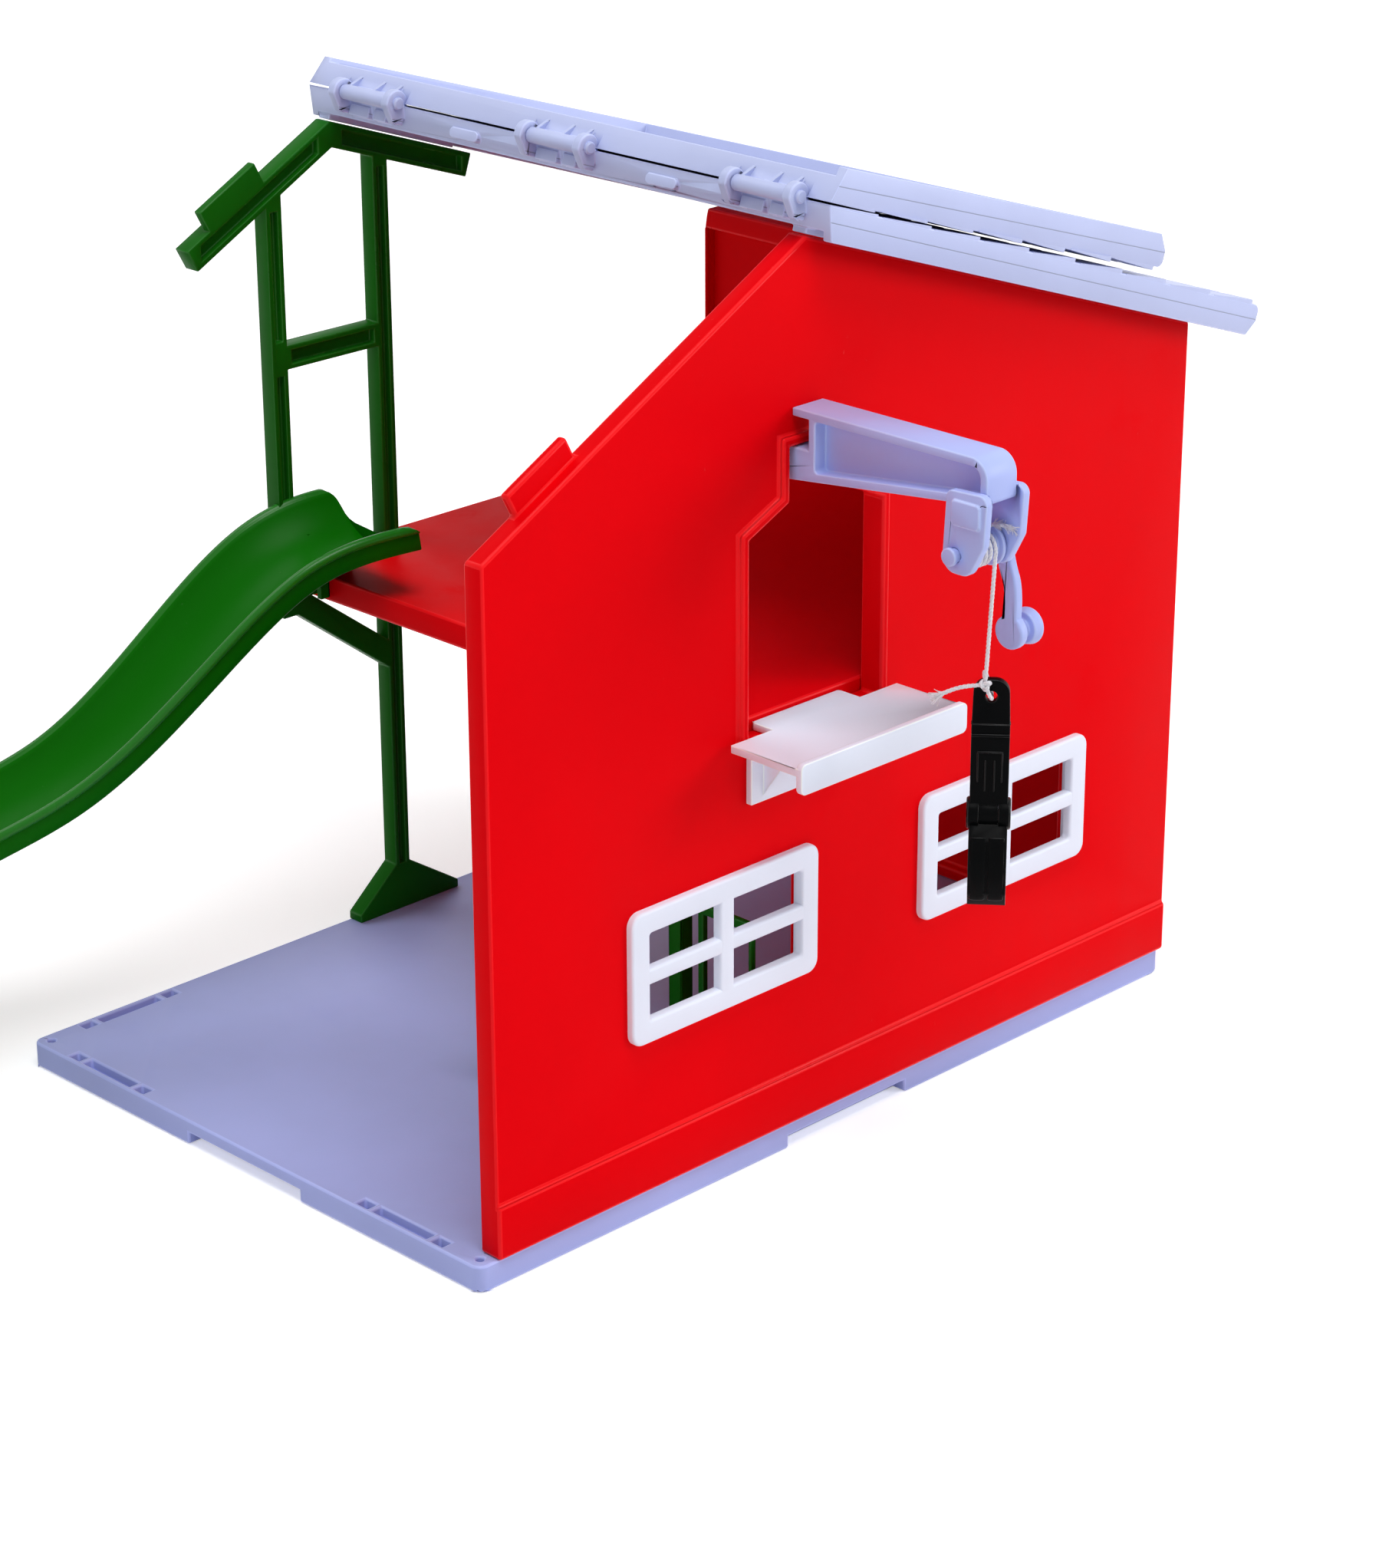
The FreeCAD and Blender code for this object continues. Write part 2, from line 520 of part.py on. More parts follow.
def roof_leaf(label, length, front, back):
    """Shingled roof leaf about the ridge axis: X runs down the slope, Z is the outward normal."""
    body = new_body(label, "ridge_x", "hinge_middle", "ridge_z")
    top = -z.leaf_gap
    foot = top - z.leaf_depth
    courses = max(1, round(length / z.course_length))
    step = (length - z.ridge_clear) / courses
    profile = [(z.ridge_clear + z.ridge_bevel, foot), (z.ridge_clear, top - z.course_step)]
    for i in range(courses):
        start = z.ridge_clear + i * step
        if i:
            profile.append((start, top - z.course_step))
        profile.append((start + step, top))
    profile += [(length, foot + z.eave_cut), (length - z.eave_cut, foot)]
    radii = [0] * len(profile)
    radii[-3] = z.eave_round
    section = new_sketch(body, "XZ_Plane", str(front))
    pad(body, outline(section, profile, radii), str(front + back), reverse=True)

    hollow = new_sketch(body, "XY_Plane", "-leaf_gap - leaf_depth")
    rim_end = z.ridge_clear + z.ridge_bevel + z.leaf_rim
    outline(hollow, box_points(rim_end, z.leaf_rim - front, length - z.eave_cut - z.leaf_rim, back - z.leaf_rim))
    pocket(body, hollow, "leaf_depth - leaf_skin", reverse=True)
    ridge_strip = new_sketch(body, "XY_Plane", "-leaf_gap - leaf_depth")
    outline(ridge_strip, box_points(0, z.leaf_rim - front, rim_end + z.leaf_rim, back - z.leaf_rim))
    pocket(body, ridge_strip, "ridge_rise", reverse=True)
    return body


def leaf_reach():
    """How far the roof reaches in front of and behind the middle hinge."""
    return z.hinge_middle + z.roof_front, z.plan_depth + z.roof_back - z.hinge_middle


def roof_right_panel():
    front, back = leaf_reach()
    body = roof_leaf("roof_right_panel", z.right_leaf_length, front, back)
    body.Placement.Rotation = FreeCAD.Rotation(V(0, 1, 0), z.right_pitch)

    rib_start = z.ridge_clear + z.ridge_bevel
    cosine = math.cos(math.radians(z.right_pitch))
    ribs = (("hinge_middle - rib_inset", "wall_depth - 2 * rib_inset", z.plan_width - z.wall_depth),
            ("hinge_middle - plan_depth + frame_depth - rib_inset", "frame_depth - 2 * rib_inset", z.right_arm_end))
    for offset, thick, last_x in ribs:
        rib = new_sketch(body, "XZ_Plane", offset)
        outline(rib, box_points(rib_start, z.seat_clear - z.right_seat, (last_x - z.ridge_x) / cosine - z.wall_rim,
                                -z.leaf_gap - z.leaf_skin / 2 - z.course_step))
        pad(body, rib, thick, reverse=True)

    radius = z.ear_radius
    ear = [(-radius, radius), (radius, radius), (radius, -z.ear_neck), (z.seat_clear, -z.ear_neck), (-radius, -1)]
    for place in hinge_places():
        for edge in ("hinge_length / 2", "ear_thick - hinge_length / 2"):
            sketch = new_sketch(body, "XZ_Plane", f"{edge} - {place}")
            outline(sketch, ear, [radius, radius * 0.999, 0, 0.5, 1.2])
            pad(body, sketch, "ear_thick", reverse=True)
    face_x = z.ridge_clear + z.ridge_bevel * (z.block_top - z.leaf_gap) / z.leaf_depth
    block = box_points(face_x - z.block_proud, -z.block_foot, z.ridge_clear + z.ridge_bevel, -z.block_top)
    for place in hinge_places():
        far = f"-hinge_length / 2 + block_inset - {place}"
        for offset, width in ((far, "long_block"), (f"{far} + long_block + block_between", "short_block")):
            pad(body, outline(new_sketch(body, "XZ_Plane", offset), block), width)
    bores = circle(new_sketch(body, "XZ_Plane", str(front)), 0, 0, z.pin_radius + z.press_clear)
    pocket(body, bores, str(front + back))

    bumps = new_sketch(body, "YZ_Plane", "ridge_clear + ridge_bevel / 4 - bump_proud")
    half_long, half_high = z.bump_length / 2, z.bump_height / 2
    for y in (-z.hinge_pitch / 2, z.hinge_pitch / 2):
        points = box_points(y - half_long, -z.leaf_depth / 2 - half_high, y + half_long, half_high - z.leaf_depth / 2)
        outline(bumps, points, half_high * 0.95)
    pad(body, bumps, "ridge_bevel")
    return body


def roof_left_panel():
    """Drawn like the right leaf, then laid upside down on it, so its Y runs the other way."""
    front, back = leaf_reach()
    body = roof_leaf("roof_left_panel", z.left_leaf_length, back, front)
    tilt = math.radians(z.right_pitch - z.fold_wedge) / 2
    body.Placement.Rotation = FreeCAD.Rotation(V(math.cos(tilt), 0, -math.sin(tilt)), 180)

    notches = new_sketch(body, "XY_Plane", "0")
    deep = z.ear_radius + z.notch_clear
    for i in (-1, 0, 1):
        for edge in (-z.hinge_length / 2, z.hinge_length / 2 - z.ear_thick):
            start = i * z.hinge_pitch + edge
            outline(notches, box_points(0, start - z.end_clear, deep, start + z.ear_thick + z.end_clear))
    pocket(body, notches, "leaf_depth + leaf_gap + 1")

    inner = "hinge_length - 2 * ear_thick - 2 * end_clear"
    for place in hinge_places():
        barrel = new_sketch(body, "XZ_Plane", f"hinge_length / 2 - ear_thick - end_clear - {place}")
        circle(barrel, 0, 0, z.barrel_radius)
        pad(body, barrel, inner, reverse=True)
        web = new_sketch(body, "XZ_Plane", f"hinge_length / 2 - ear_thick - end_clear - {place}")
        outline(web, box_points(0, -z.barrel_radius, z.ridge_clear + z.ridge_bevel / 2, -z.barrel_radius / 2))
        pad(body, web, inner, reverse=True)
    bores = circle(new_sketch(body, "XZ_Plane", str(back)), 0, 0, z.pin_radius + z.pin_clear)
    pocket(body, bores, str(front + back))
    return body


def hinge_pins():
    pins = []
    for number, place in enumerate(hinge_places(), 1):
        body = new_body(f"roof_hinge_pin_{number}", "ridge_x", "hinge_middle", "ridge_z")
        section = circle(new_sketch(body, "XZ_Plane", f"hinge_length / 2 - {place}"), 0, 0, z.pin_radius)
        pad(body, section, "hinge_length", reverse=True)
        pins.append(body)
    return pins


def pane_boxes():
    """The four panes of a window, from its lower left corner."""
    pane_x = (z.window_width - 2 * z.window_stile - z.window_muntin) / 2
    pane_z = (z.window_height - 2 * z.window_stile - z.window_bar) / 2
    for i in range(2):
        for j in range(2):
            x = z.window_stile + i * (pane_x + z.window_muntin)
            y = z.window_stile + j * (pane_z + z.window_bar)
            yield box_points(x, y, x + pane_x, y + pane_z)


def window_frame(label, side_x):
    body = new_body(label, side_x, "0", "window_foot")
    face = new_sketch(body, "XZ_Plane", "fit_clear / 2")
    outline(face, box_points(0, 0, z.window_width, z.window_height), z.window_corner)
    spigot = new_sketch(body, "XZ_Plane", "fit_clear / 2")
    margin = z.window_overlap + z.fit_clear
    outline(spigot, box_points(margin, margin, z.window_width - margin, z.window_height - margin))
    for pane in pane_boxes():
        outline(face, pane, z.pane_corner)
        outline(spigot, pane, z.pane_corner)
    pad(body, face, "window_proud")
    pad(body, spigot, "wall_depth - fit_clear", reverse=True)
    return body


def loading_ledge():
    body = new_body("loading_ledge")
    back = -z.trim_proud - z.fit_clear
    tongue_left = z.door_left + z.tongue_inset
    tongue_right = z.door_right - z.tongue_inset
    tongue_back = z.wall_depth - z.fit_clear
    plan = [(z.ledge_left, back), (z.ledge_left, -z.ledge_reach), (z.ledge_right, -z.ledge_reach),
            (z.ledge_right, back), (tongue_right, back), (tongue_right, tongue_back), (tongue_left, tongue_back),
            (tongue_left, back)]
    deck = new_sketch(body, "XY_Plane", "door_sill + fit_clear")
    pad(body, outline(deck, plan, [0, 1.5, 1.5, 0, 0, 1, 1, 0]), "ledge_thick")

    top = z.door_sill + z.fit_clear + z.ledge_thick + z.lip_rise
    lip = new_sketch(body, "XZ_Plane", "ledge_reach - lip_thick")
    outline(lip, box_points(z.ledge_left, top - z.lip_height, z.ledge_right, top), 1.4)
    pad(body, lip, "lip_thick")

    plate = new_sketch(body, "XZ_Plane", "fit_clear")
    deck_foot = z.door_sill + z.fit_clear
    outline(plate, box_points(z.door_left + z.fit_clear, deck_foot - z.bracket_height, z.door_right - z.fit_clear,
                              deck_foot + z.ledge_thick / 2))
    pad(body, plate, "bracket_thick")

    gusset = [(-z.bracket_thick / 2, deck_foot + z.ledge_thick / 2), (-z.gusset_reach, deck_foot + z.ledge_thick / 2),
              (-z.gusset_reach, deck_foot - 1.5), (-z.bracket_thick / 2, deck_foot - z.bracket_height)]
    for offset in ("ledge_left + gusset_inset", "ledge_right - gusset_inset - bracket_thick"):
        sketch = outline(new_sketch(body, "YZ_Plane", offset), gusset)
        pad(body, sketch, "bracket_thick")
    return body


def slide_path(run):
    """Point on the rim line, heading and steepness after a run measured on the ground plan."""
    turn = math.radians(z.bend_angle)
    arc = z.bend_radius * turn
    total, angle = run - z.bend_start, 0
    x, y = z.slide_head_x - min(run, z.bend_start), z.slide_y
    for length, curve in ((arc, 1), (z.bend_between, 0), (arc, -1), (1e6, 0)):
        part = max(0, min(total, length))
        total -= part
        if curve:
            swing = curve * part / z.bend_radius
            x -= curve * z.bend_radius * (math.sin(angle + swing) - math.sin(angle))
            y -= curve * z.bend_radius * (math.cos(angle + swing) - math.cos(angle))
            angle += swing
        else:
            x -= part * math.cos(angle)
            y += part * math.sin(angle)
    steep = math.radians(z.slide_slope)
    crest = z.crest_radius * math.sin(steep)
    height = z.loft_top + z.rim_rise
    past = run - z.slide_level
    if past <= 0:
        return V(x, y, height), angle, 0
    if past <= crest:
        pitch = math.asin(past / z.crest_radius)
        return V(x, y, height - z.crest_radius * (1 - math.cos(pitch))), angle, pitch
    height -= z.crest_radius * (1 - math.cos(steep))
    left = slide_run() - run
    foot = z.foot_radius * math.sin(steep)
    if left >= foot:
        return V(x, y, height - (past - crest) * math.tan(steep)), angle, steep
    pitch = math.asin(max(0, left) / z.foot_radius)
    return V(x, y, slide_end_height() + z.foot_radius * (1 - math.cos(pitch))), angle, pitch


def slide_end_height():
    return z.trough_depth + z.trough_skin


def slide_run():
    """Length of the slide on the ground plan, so that its foot lies level on the ground."""
    steep = math.radians(z.slide_slope)
    drop = z.loft_top + z.rim_rise - slide_end_height()
    drop -= (z.crest_radius + z.foot_radius) * (1 - math.cos(steep))
    return z.slide_level + (z.crest_radius + z.foot_radius) * math.sin(steep) + drop / math.tan(steep)


def slide_section(run):
    """Closed wire of the trough's section, square to the path."""
    spot, angle, pitch = slide_path(run)
    side = V(math.sin(angle), math.cos(angle), 0)
    ahead = V(-math.cos(angle) * math.cos(pitch), math.sin(angle) * math.cos(pitch), -math.sin(pitch))
    up = side.cross(ahead)
    up = up if up.z > 0 else up * -1

    def at(a, b):
        return spot + side * a + up * b

    radius = (z.rim_half ** 2 + z.trough_depth ** 2) / (2 * z.trough_depth)
    centre = radius - z.trough_depth
    outer = radius + z.trough_skin
    inside = z.slide_half - z.skirt_skin
    meet = centre - math.sqrt(outer ** 2 - inside ** 2)
    lip = z.slide_half + z.rim_lip
    right = [(z.rim_half, 0), (lip, 0), (lip, -z.lip_drop), (z.slide_half, -z.lip_drop),
             (z.slide_half, -z.skirt_drop), (inside, -z.skirt_drop), (inside, meet)]
    left = [(-a, b) for a, b in reversed(right)]
    edges = [Part.makeLine(at(*p), at(*q)) for p, q in zip(right, right[1:])]
    edges.append(Part.Arc(at(inside, meet), at(0, -z.trough_depth - z.trough_skin), at(-inside, meet)).toShape())
    edges += [Part.makeLine(at(*p), at(*q)) for p, q in zip(left, left[1:])]
    edges.append(Part.Arc(at(-z.rim_half, 0), at(0, -z.trough_depth), at(z.rim_half, 0)).toShape())
    return Part.Wire(edges)


def slide_chute():
    run = slide_run()
    steps = 32
    sections = [slide_section(run * i / steps) for i in range(steps + 1)]
    trough = Part.makeLoft(sections, True, True)
    hook_top = z.loft_top + z.rim_rise - z.trough_depth + z.hook_rise_in
    outer_x = z.loft_left - z.seat_clear - z.hook_wall
    profile = [(z.slide_head_x - 1, hook_top), (outer_x, hook_top), (outer_x, z.loft_top - z.hook_drop),
               (z.loft_left - z.seat_clear, z.loft_top - z.hook_drop), (z.loft_left - z.seat_clear, z.loft_top),
               (z.slide_head_x - 1, z.loft_top)]
    for y in (z.slide_y - z.hook_offset - z.hook_thick, z.slide_y + z.hook_offset):
        face = Part.Face(Part.makePolygon([V(a, y, b) for a, b in profile + profile[:1]]))
        trough = trough.fuse(face.extrude(V(0, z.hook_thick, 0)))
    feature = doc.addObject("Part::Feature", "slide_chute")
    feature.Shape = trough.removeSplitter()
    return centred(feature)


def crane_arm():
    body = new_body("crane_arm")
    reach, top, flange = z.arm_reach, z.arm_top, z.arm_flange
    neck_head = z.neck_top - z.seat_clear
    hook_front = z.wall_depth + z.hook_clear
    hook_back = hook_front + z.hook_plate
    side = [(0 - z.fit_clear, top), (-reach, top), (-reach, z.arm_end_foot), (0, z.arm_root_foot),
            (hook_back, z.arm_root_foot), (hook_back, z.neck_top + z.hook_rise), (hook_front, z.neck_top + z.hook_rise),
            (hook_front, neck_head), (-z.notch_depth, neck_head), (-z.notch_depth, top - flange),
            (0 - z.fit_clear, top - flange)]
    sketch = new_sketch(body, "YZ_Plane", "arm_left")
    pad(body, outline(sketch, side, [0, z.arm_nose, 1, 0, 1, 0.6, 0.6, 0, 0, 0, 0]), "arm_right - arm_left")
    fall = (z.arm_end_foot - z.arm_root_foot) / reach
    panel = [(-z.notch_depth - flange, top - flange), (-reach + flange, top - flange),
             (-reach + flange, z.arm_end_foot + flange - fall * flange),
             (-z.notch_depth - flange, z.arm_root_foot + flange + fall * (z.notch_depth + flange))]
    for offset, flip in (("arm_left", True), ("arm_right", False)):
        recess = outline(new_sketch(body, "YZ_Plane", offset), panel, [1, z.arm_nose - flange, 1, 1])
        pocket(body, recess, "arm_recess", reverse=flip)
    return body


def winch_cheek(label, near):
    """Side plate that hangs from the crane arm and carries the axle."""
    body = new_body(label, "0", "axle_y", "axle_z")
    start = "arm_left - cheek_gap" if near else "arm_right + cheek_gap"
    plate = new_sketch(body, "YZ_Plane", start)
    head = z.arm_end_foot - z.axle_z + z.cheek_overlap
    points = [(2.4, head), (-8.2, head + 0.5), (-7.5, 3.2), (-3.8, -3.8), (3.4, -3.8)]
    outline(plate, points, [1.6, 2, 2.2, 3, 3.3])
    pad(body, plate, "cheek_thick", reverse=near)
    face = "arm_left - cheek_gap - cheek_thick" if near else "arm_right + cheek_gap + cheek_thick"
    badge = new_sketch(body, "YZ_Plane", face)
    outline(badge, box_points(-6.6, head - 6.8, 0.8, head - 1.6), 1)
    pad(body, badge, "cheek_pad", reverse=near)
    bore = circle(new_sketch(body, "YZ_Plane", start), 0, 0, z.axle_radius + z.axle_clear)
    pocket(body, bore, "cheek_thick + 1", reverse=not near)
    return body


def winch_drum():
    body = new_body("winch_drum", "0", "axle_y", "axle_z")
    inside = "arm_left + crank_clear"
    width = "arm_right - arm_left - 2 * crank_clear"
    axle_start = "arm_left - cheek_gap - cheek_thick - cheek_pad - crank_clear - boss_length"
    crank_face = "arm_right + cheek_gap + cheek_thick + cheek_pad + crank_clear"
    pad(body, circle(new_sketch(body, "YZ_Plane", inside), 0, 0, z.drum_radius), width)
    pad(body, circle(new_sketch(body, "YZ_Plane", inside), 0, 0, z.drum_flange), "flange_thick")
    far = new_sketch(body, "YZ_Plane", "arm_right - crank_clear - flange_thick")
    pad(body, circle(far, 0, 0, z.drum_flange), "flange_thick")
    axle = circle(new_sketch(body, "YZ_Plane", axle_start), 0, 0, z.axle_radius)
    pad(body, axle, f"{crank_face} + crank_thick - ({axle_start})")
    pad(body, circle(new_sketch(body, "YZ_Plane", axle_start), 0, 0, z.boss_radius), "boss_length")
    return body


def crank_tip():
    """Centre of the crank's lobe from the axle, in Y and Z."""
    tilt = math.radians(z.crank_tilt)
    return -z.crank_reach * math.sin(tilt), -z.crank_reach * math.cos(tilt)


def winch_crank():
    body = new_body("winch_crank", "0", "axle_y", "axle_z")
    face = "arm_right + cheek_gap + cheek_thick + cheek_pad + crank_clear"
    y, height = crank_tip()
    pad(body, circle(new_sketch(body, "YZ_Plane", face), 0, 0, z.crank_hub), "crank_thick")
    pad(body, circle(new_sketch(body, "YZ_Plane", face), y, height, z.crank_lobe), "crank_thick")
    half = z.crank_waist
    bend = z.crank_bend
    bar = [(half, 0), (half + bend, height * 0.3), (half + bend * 0.4, height * 0.55), (y + half, height),
           (y - half, height), (bend * 0.4 - half, height * 0.6), (bend - half, height * 0.32), (-half, 0)]
    sketch = outline(new_sketch(body, "YZ_Plane", face), bar, [0, 3, 3, 0, 0, 3, 3, 0])
    pad(body, sketch, "crank_thick")
    bores = new_sketch(body, "YZ_Plane", face)
    circle(bores, 0, 0, z.axle_radius + z.press_clear)
    circle(bores, y, height, z.peg_radius + z.press_clear)
    pocket(body, bores, "crank_thick", reverse=True)
    return body


def crank_knob():
    """Mushroom grip turned about the lobe's axis, with a peg through the crank."""
    body = new_body("crank_knob", "arm_right + cheek_gap + cheek_thick + cheek_pad + crank_clear",
                    "axle_y - crank_reach * sin(crank_tilt)", "axle_z - crank_reach * cos(crank_tilt)")
    thick, neck, rim = z.crank_thick, z.crank_thick + z.knob_neck_length, z.knob_radius
    end = neck + z.knob_length
    points = [(z.press_clear, 0), (end, 0), (end, rim * 0.55), (end - z.knob_length * 0.4, rim), (neck, rim * 0.85),
              (neck, z.knob_neck), (thick, z.knob_neck), (thick, z.peg_radius), (z.press_clear, z.peg_radius)]
    sketch = outline(new_sketch(body, "XY_Plane"), points, [0, 0, 1.2, 1, 0, 0, 0, 0, 0])
    turned = body.newObject("PartDesign::Revolution", "crank_knob_turned")
    turned.Profile = sketch
    turned.ReferenceAxis = (sketch, ["H_Axis"])
    turned.Angle = 360
    doc.recompute()
    return body


def biarc(start, start_way, end, end_way):
    """Two tangent arcs between two points with given directions."""
    across = end - start
    ways = start_way + end_way
    turn = 2 * (1 - start_way.dot(end_way))
    reach = (-across.dot(ways) + math.sqrt(across.dot(ways) ** 2 + turn * across.dot(across))) / turn
    joint = (start + end + (start_way - end_way) * reach) * 0.5
    middle_way = (joint - start - start_way * reach).normalize()

    def arc(first, way, last):
        chord = last - first
        lean = math.acos(max(-1, min(1, way.dot(chord) / chord.Length)))
        off = way - chord * (way.dot(chord) / chord.dot(chord))
        crest = (first + last) * 0.5 + off.normalize() * (chord.Length / 2 * math.tan(lean / 2))
        return Part.Arc(first, crest, last)

    return [arc(start, start_way, joint), arc(joint, middle_way, end)]


def swept(wire, start, way, radius):
    """Round tube along a wire, as one solid."""
    ring = Part.Wire(Part.Circle(start, way, radius).toShape())
    shell = Part.BRepOffsetAPI.MakePipeShell(wire)
    shell.add(ring)
    shell.build()
    shell.makeSolid()
    return shell.shape()


def winding_radius():
    return z.drum_radius + z.winding_clear + z.string_radius


def string_x():
    """Where the hanging string leaves the drum."""
    return z.winding_start + z.string_pitch * z.string_turns


def string_y():
    return z.axle_y - winding_radius()


def string_winding():
    """One layer of loops on the plain core; the last quarter turn leaves straight down."""
    quarters = int(round(z.string_turns * 4))
    radius = winding_radius()
    lead = z.string_pitch / (2 * math.pi * radius)
    last = math.pi
    spots, ways = [], []
    for i in range(quarters + 1):
        angle = last - (quarters - i) * math.pi / 2
        x = z.winding_start + z.string_pitch * i / 4
        spots.append(V(x, z.axle_y + radius * math.cos(angle), z.axle_z + radius * math.sin(angle)))
        flat = 0 if i in (0, quarters) else lead
        ways.append(V(flat, -math.sin(angle), math.cos(angle)).normalize())
    straight = 2 * z.string_radius
    edges = [Part.LineSegment(spots[0] - ways[0] * straight, spots[0])]
    for i in range(quarters):
        edges += biarc(spots[i], ways[i], spots[i + 1], ways[i + 1])
    edges.append(Part.LineSegment(spots[-1], spots[-1] + ways[-1] * straight))
    wire = Part.Wire([edge.toShape() for edge in edges])
    tube = swept(wire, spots[0] - ways[0] * straight, ways[0], z.string_radius)
    points = wire.discretize(400)
    far = wire.Length / z.string_turns / 2
    step = wire.Length / 399
    least = min((points[i] - points[j]).Length for i in range(400) for j in range(i + 1, 400) if (j - i) * step > far)
    print("string_winding: least gap between loops", round(least - 2 * z.string_radius, 3))
    print("string_winding: volume", round(tube.Volume, 2), "section x length",
          round(math.pi * z.string_radius ** 2 * wire.Length, 2))
    feature = doc.addObject("Part::Feature", "string_winding")
    feature.Shape = tube
    return centred(feature)


def loop_centre_z():
    """The loop's lowest point passes through the middle of the gripper's hole."""
    return z.tab_top - z.tab_hole_drop + z.loop_radius


def knot_z():
    return loop_centre_z() + z.loop_radius + z.knot_radius / 2


def hoist_string():
    body = new_body("hoist_string", str(string_x()), str(string_y()), "0")
    foot = knot_z() + z.knot_radius + z.press_clear
    head = z.axle_z - 2 * z.string_radius - z.press_clear
    section = circle(new_sketch(body, "XY_Plane", str(foot)), 0, 0, z.string_radius)
    pad(body, section, str(head - foot))
    return body


def gripper_turn():
    return FreeCAD.Rotation(V(0, 0, 1), z.gripper_turn)


def string_knot():
    across = gripper_turn().multVec(V(1, 0, 0))
    foot = V(string_x(), string_y(), 0)
    ring = Part.makeTorus(z.loop_radius, z.string_radius, foot + V(0, 0, loop_centre_z()), across)
    knot = Part.makeSphere(z.knot_radius, foot + V(0, 0, knot_z()))
    feature = doc.addObject("Part::Feature", "string_knot")
    feature.Shape = ring.fuse(knot)
    return centred(feature)


def string_tail():
    """Loose end beside the knot: straight runs joined by tangent arcs."""
    across = gripper_turn().multVec(V(1, 0, 0))
    origin = V(string_x(), string_y(), knot_z())
    spots = [origin + across * a + V(0, 0, b) for a, b in
             ((-z.knot_radius - z.press_clear, 0), (-3.4, 0), (-5.8, -1), (-7.6, -2.8))]
    edges, at = [], spots[0]
    for before, corner, after in zip(spots, spots[1:], spots[2:]):
        come = (corner - before).normalize()
        go = (after - corner).normalize()
        half = come.getAngle(go) / 2
        trim = 0.45 * min((corner - before).Length, (after - corner).Length)
        edges.append(Part.makeLine(at, corner - come * trim))
        bend = trim / math.tan(half)
        middle = corner + (go - come).normalize() * bend * (1 / math.cos(half) - 1)
        edges.append(Part.Arc(corner - come * trim, middle, corner + go * trim).toShape())
        print("string_tail: bend radius", round(bend, 2))
        at = corner + go * trim
    edges.append(Part.makeLine(at, spots[-1]))
    wire = Part.Wire(edges)
    tube = swept(wire, spots[0], (spots[1] - spots[0]).normalize(), z.string_radius)
    print("string_tail: volume", round(tube.Volume, 2), "section x length",
          round(math.pi * z.string_radius ** 2 * wire.Length, 2))
    feature = doc.addObject("Part::Feature", "string_tail")
    feature.Shape = tube
    return centred(feature)


def gripper_body(label):
    """A body whose X is the gripper's width and whose origin is the pivot."""
    body = new_body(label, str(string_x()), str(string_y()), "pivot_z")
    body.Placement.Rotation = gripper_turn()
    return body


def jaw_points(side):
    """Bowed jaw below the pivot, on one side of it, from the outer face round to the inner one."""
    bow, foot, thick = z.jaw_bow, z.pivot_z - z.jaw_foot, z.jaw_thick
    outer = [(z.barrel_outer * 0.8, -1), (bow * 0.8, -foot * 0.22), (bow, -foot * 0.5), (bow * 0.8, -foot * 0.8),
             (bow * 0.36, -foot)]
    inner = [(bow * 0.36 - thick * 0.5, -foot + thick * 0.9), (bow * 0.8 - thick * 1.05, -foot * 0.8 + thick * 0.3),
             (bow - thick, -foot * 0.5), (bow * 0.8 - thick * 0.9, -foot * 0.22 - thick * 0.5), (0.2, -z.barrel_outer * 0.7)]
    return [(side * a, b) for a, b in outer + inner]


def gripper_front_jaw():
    body = gripper_body("gripper_front_jaw")
    half, width = "-gripper_width / 2", "gripper_width"
    reach, step = z.tab_top - z.pivot_z, z.lever_step - z.pivot_z
    front, back = -z.lever_thick + z.tab_thick / 2, z.tab_thick / 2
    lever = [(front, 0), (back, 0), (back, step + 1), (front + 0.6, step + 1), (front, step - 2)]
    pad(body, outline(new_sketch(body, "YZ_Plane", half), lever), width)
    tab = new_sketch(body, "XZ_Plane", "-tab_thick / 2")
    outline(tab, [(-z.gripper_width / 2, step), (z.gripper_width / 2, step), (z.gripper_width * 0.46, reach),
                  (-z.gripper_width * 0.46, reach)], [0, 0, 3, 3])
    pad(body, tab, "tab_thick")
    jaw = outline(new_sketch(body, "YZ_Plane", half), jaw_points(-1), [0, 2, 3, 2, 0.4, 0.4, 1.5, 2, 1.5, 0])
    pad(body, jaw, width)
    for offset in (half, "gripper_width / 2 - knuckle_width"):
        pad(body, circle(new_sketch(body, "YZ_Plane", offset), 0, 0, z.barrel_outer), "knuckle_width")
    middle = circle(new_sketch(body, "YZ_Plane", "knuckle_width - gripper_width / 2"), 0, 0, z.barrel_outer + z.end_clear)
    pocket(body, middle, "gripper_width - 2 * knuckle_width", reverse=True)
    bore = circle(new_sketch(body, "YZ_Plane", half), 0, 0, z.pivot_radius + z.press_clear)
    pocket(body, bore, width, reverse=True)
    eye = circle(new_sketch(body, "XZ_Plane", "-tab_thick / 2"), 0, reach - z.tab_hole_drop, z.tab_hole)
    pocket(body, eye, "tab_thick", reverse=True)
    return body


